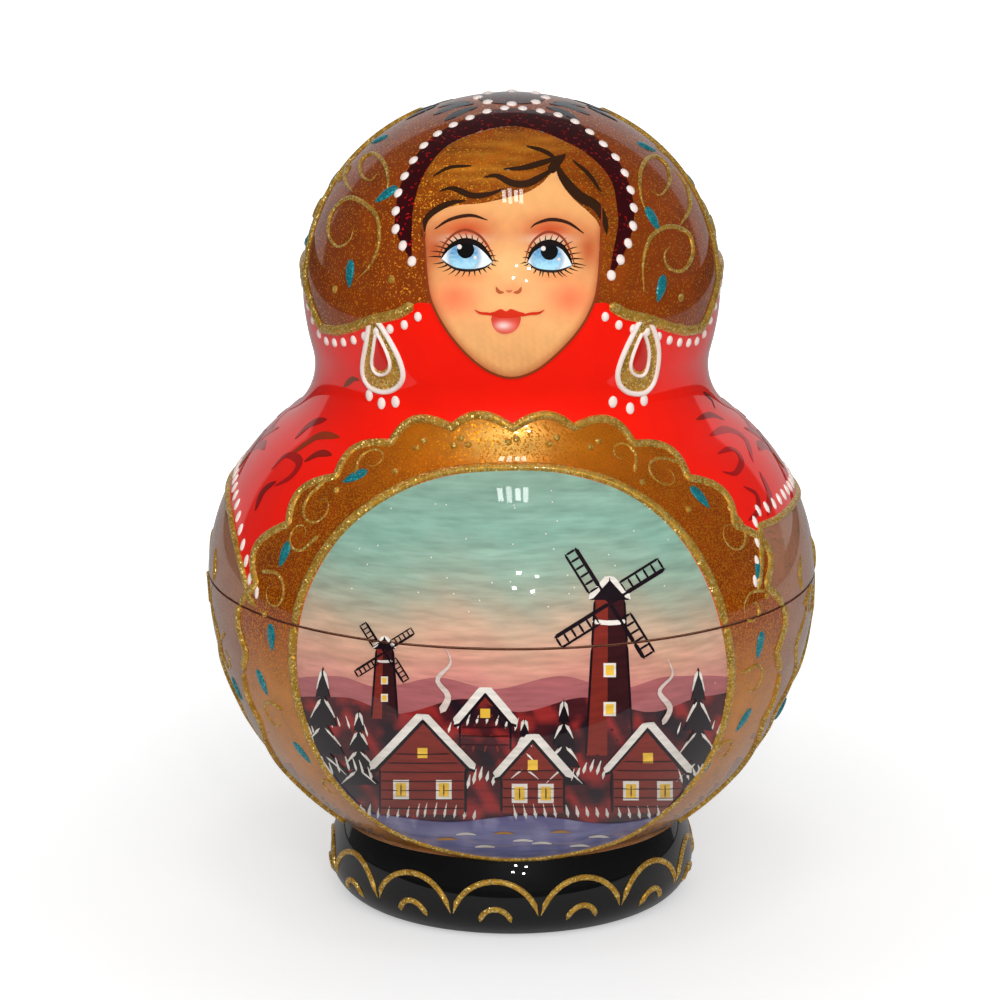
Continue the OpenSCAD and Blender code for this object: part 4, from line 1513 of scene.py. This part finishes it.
def floor():
    """A white floor. Before the doll it is dark in mirror images, as the photographer stands there."""
    mesh = bpy.data.meshes.new("floor")
    side, front, back = 1.2, -0.8, 1.6
    mesh.from_pydata([(-side, front, 0), (side, front, 0), (side, back, 0), (-side, back, 0)], [],
                     [(0, 1, 2, 3)])
    made, tree = material("floor_white")
    place = result(tree, "TexCoord", socket="Object")
    axes = node(tree, "SeparateXYZ", {"Vector": place}).outputs
    cloud = result(tree, "TexNoise", {"Vector": place, "Scale": 3.0})
    tone = mixed(tree, cloud, rgba((0.54, 0.54, 0.54)), rgba((0.56, 0.56, 0.56)))
    surface = result(tree, "BsdfDiffuse", {"Color": tone})
    away = result(tree, "VectorMath", {0: place}, "Value", operation="LENGTH")
    white = result(tree, "MapRange", {"Value": away, "From Min": SHADOW_NEAR, "From Max": SHADOW_FAR,
                                      "To Min": SHADOW_GLOW, "To Max": 1.0})
    glow = result(tree, "Emission", {"Color": (1, 1, 1, 1), "Strength": white})
    both = result(tree, "AddShader", {0: surface, 1: glow})
    path = node(tree, "LightPath").outputs
    shown = result(tree, "MixShader", {0: path["Is Camera Ray"], 1: surface, 2: both})
    aside = result(tree, "Math", {0: axes["X"]}, operation="ABSOLUTE")
    wide = result(tree, "Math", {0: aside, 1: SHEET_SIDE}, operation="GREATER_THAN")
    near = result(tree, "Math", {0: axes["Y"], 1: SHEET_FRONT}, operation="LESS_THAN")
    off = result(tree, "Math", {0: wide, 1: near}, operation="MAXIMUM")
    hidden = result(tree, "Math", {0: off, 1: path["Is Glossy Ray"]}, operation="MULTIPLY")
    dark = result(tree, "BsdfDiffuse", {"Color": rgba((0.03, 0.03, 0.03))})
    node(tree, "OutputMaterial", {"Surface": result(tree, "MixShader", {0: hidden, 1: shown, 2: dark})})
    mesh.materials.append(made)
    obj = bpy.data.objects.new("floor", mesh)
    bpy.context.scene.collection.objects.link(obj)


def world():
    """A white room behind the doll and a dim one behind the camera."""
    made = bpy.data.worlds.new("room")
    made.use_nodes = True
    tree = made.node_tree
    tree.nodes.clear()
    place = result(tree, "TexCoord", socket="Generated")
    back = result(tree, "VectorMath", {0: place, 1: (0, 1, -0.25)}, "Value", operation="DOT_PRODUCT")
    depth = result(tree, "MapRange", {"Value": back, "From Min": 0.615, "From Max": 0.645,
                                      "To Min": ROOM_DIM, "To Max": ROOM_WHITE})
    light = result(tree, "Background", {"Color": (1, 1, 1, 1), "Strength": depth})
    white = result(tree, "Background", {"Color": (1, 1, 1, 1), "Strength": 1.0})
    camera_ray = result(tree, "LightPath", socket="Is Camera Ray")
    node(tree, "OutputWorld", {"Surface": result(tree, "MixShader", {0: camera_ray, 1: light, 2: white})})
    bpy.context.scene.world = made


def area(name, azimuth, elevation, distance, size, power, aim=(0, 0, 0.05), mirrored=True):
    """A rectangular light on a sphere about the doll, facing its middle."""
    light = bpy.data.lights.new(name, "AREA")
    light.shape = "RECTANGLE"
    light.size, light.size_y = size
    light.energy = power
    obj = bpy.data.objects.new(name, light)
    a, e = math.radians(azimuth), math.radians(elevation)
    away = Vector((math.sin(a) * math.cos(e), -math.cos(a) * math.cos(e), math.sin(e)))
    obj.location = Vector(aim) + away * distance
    obj.rotation_euler = away.to_track_quat("Z", "Y").to_euler()
    obj.visible_glossy = mirrored
    bpy.context.scene.collection.objects.link(obj)


def camera():
    """The photographer's camera."""
    data = bpy.data.cameras.new("photo_view")
    data.lens = VIEW_LENS
    data.clip_end = 20
    obj = bpy.data.objects.new("photo_view", data)
    obj.location = EYE * MM
    aim = (np.array([0, 0, VIEW_Z]) + RIGHT * VIEW_ASIDE + UP * VIEW_BELOW) * MM
    obj.rotation_euler = (Vector(aim) - obj.location).to_track_quat("-Z", "Y").to_euler()
    bpy.context.scene.collection.objects.link(obj)
    bpy.context.scene.camera = obj


floor()
world()
for bar, (aside, length) in enumerate(TUBES):
    area(f"tube_{bar}", 2, 73, 0.9, (0.024, length), 0.12, aim=(aside, 0, 0.05))
for lamp, (aside, up) in enumerate(SPARKS):
    area(f"spark_{lamp}", aside, up, 0.9, (0.02, 0.02), 0.4)
for lamp_name, aside, up, away, size, power in SOFT_LAMPS:
    area(lamp_name, aside, up, away, size, power, mirrored=False)
camera()
bpy.context.scene.view_settings.view_transform = "Standard"
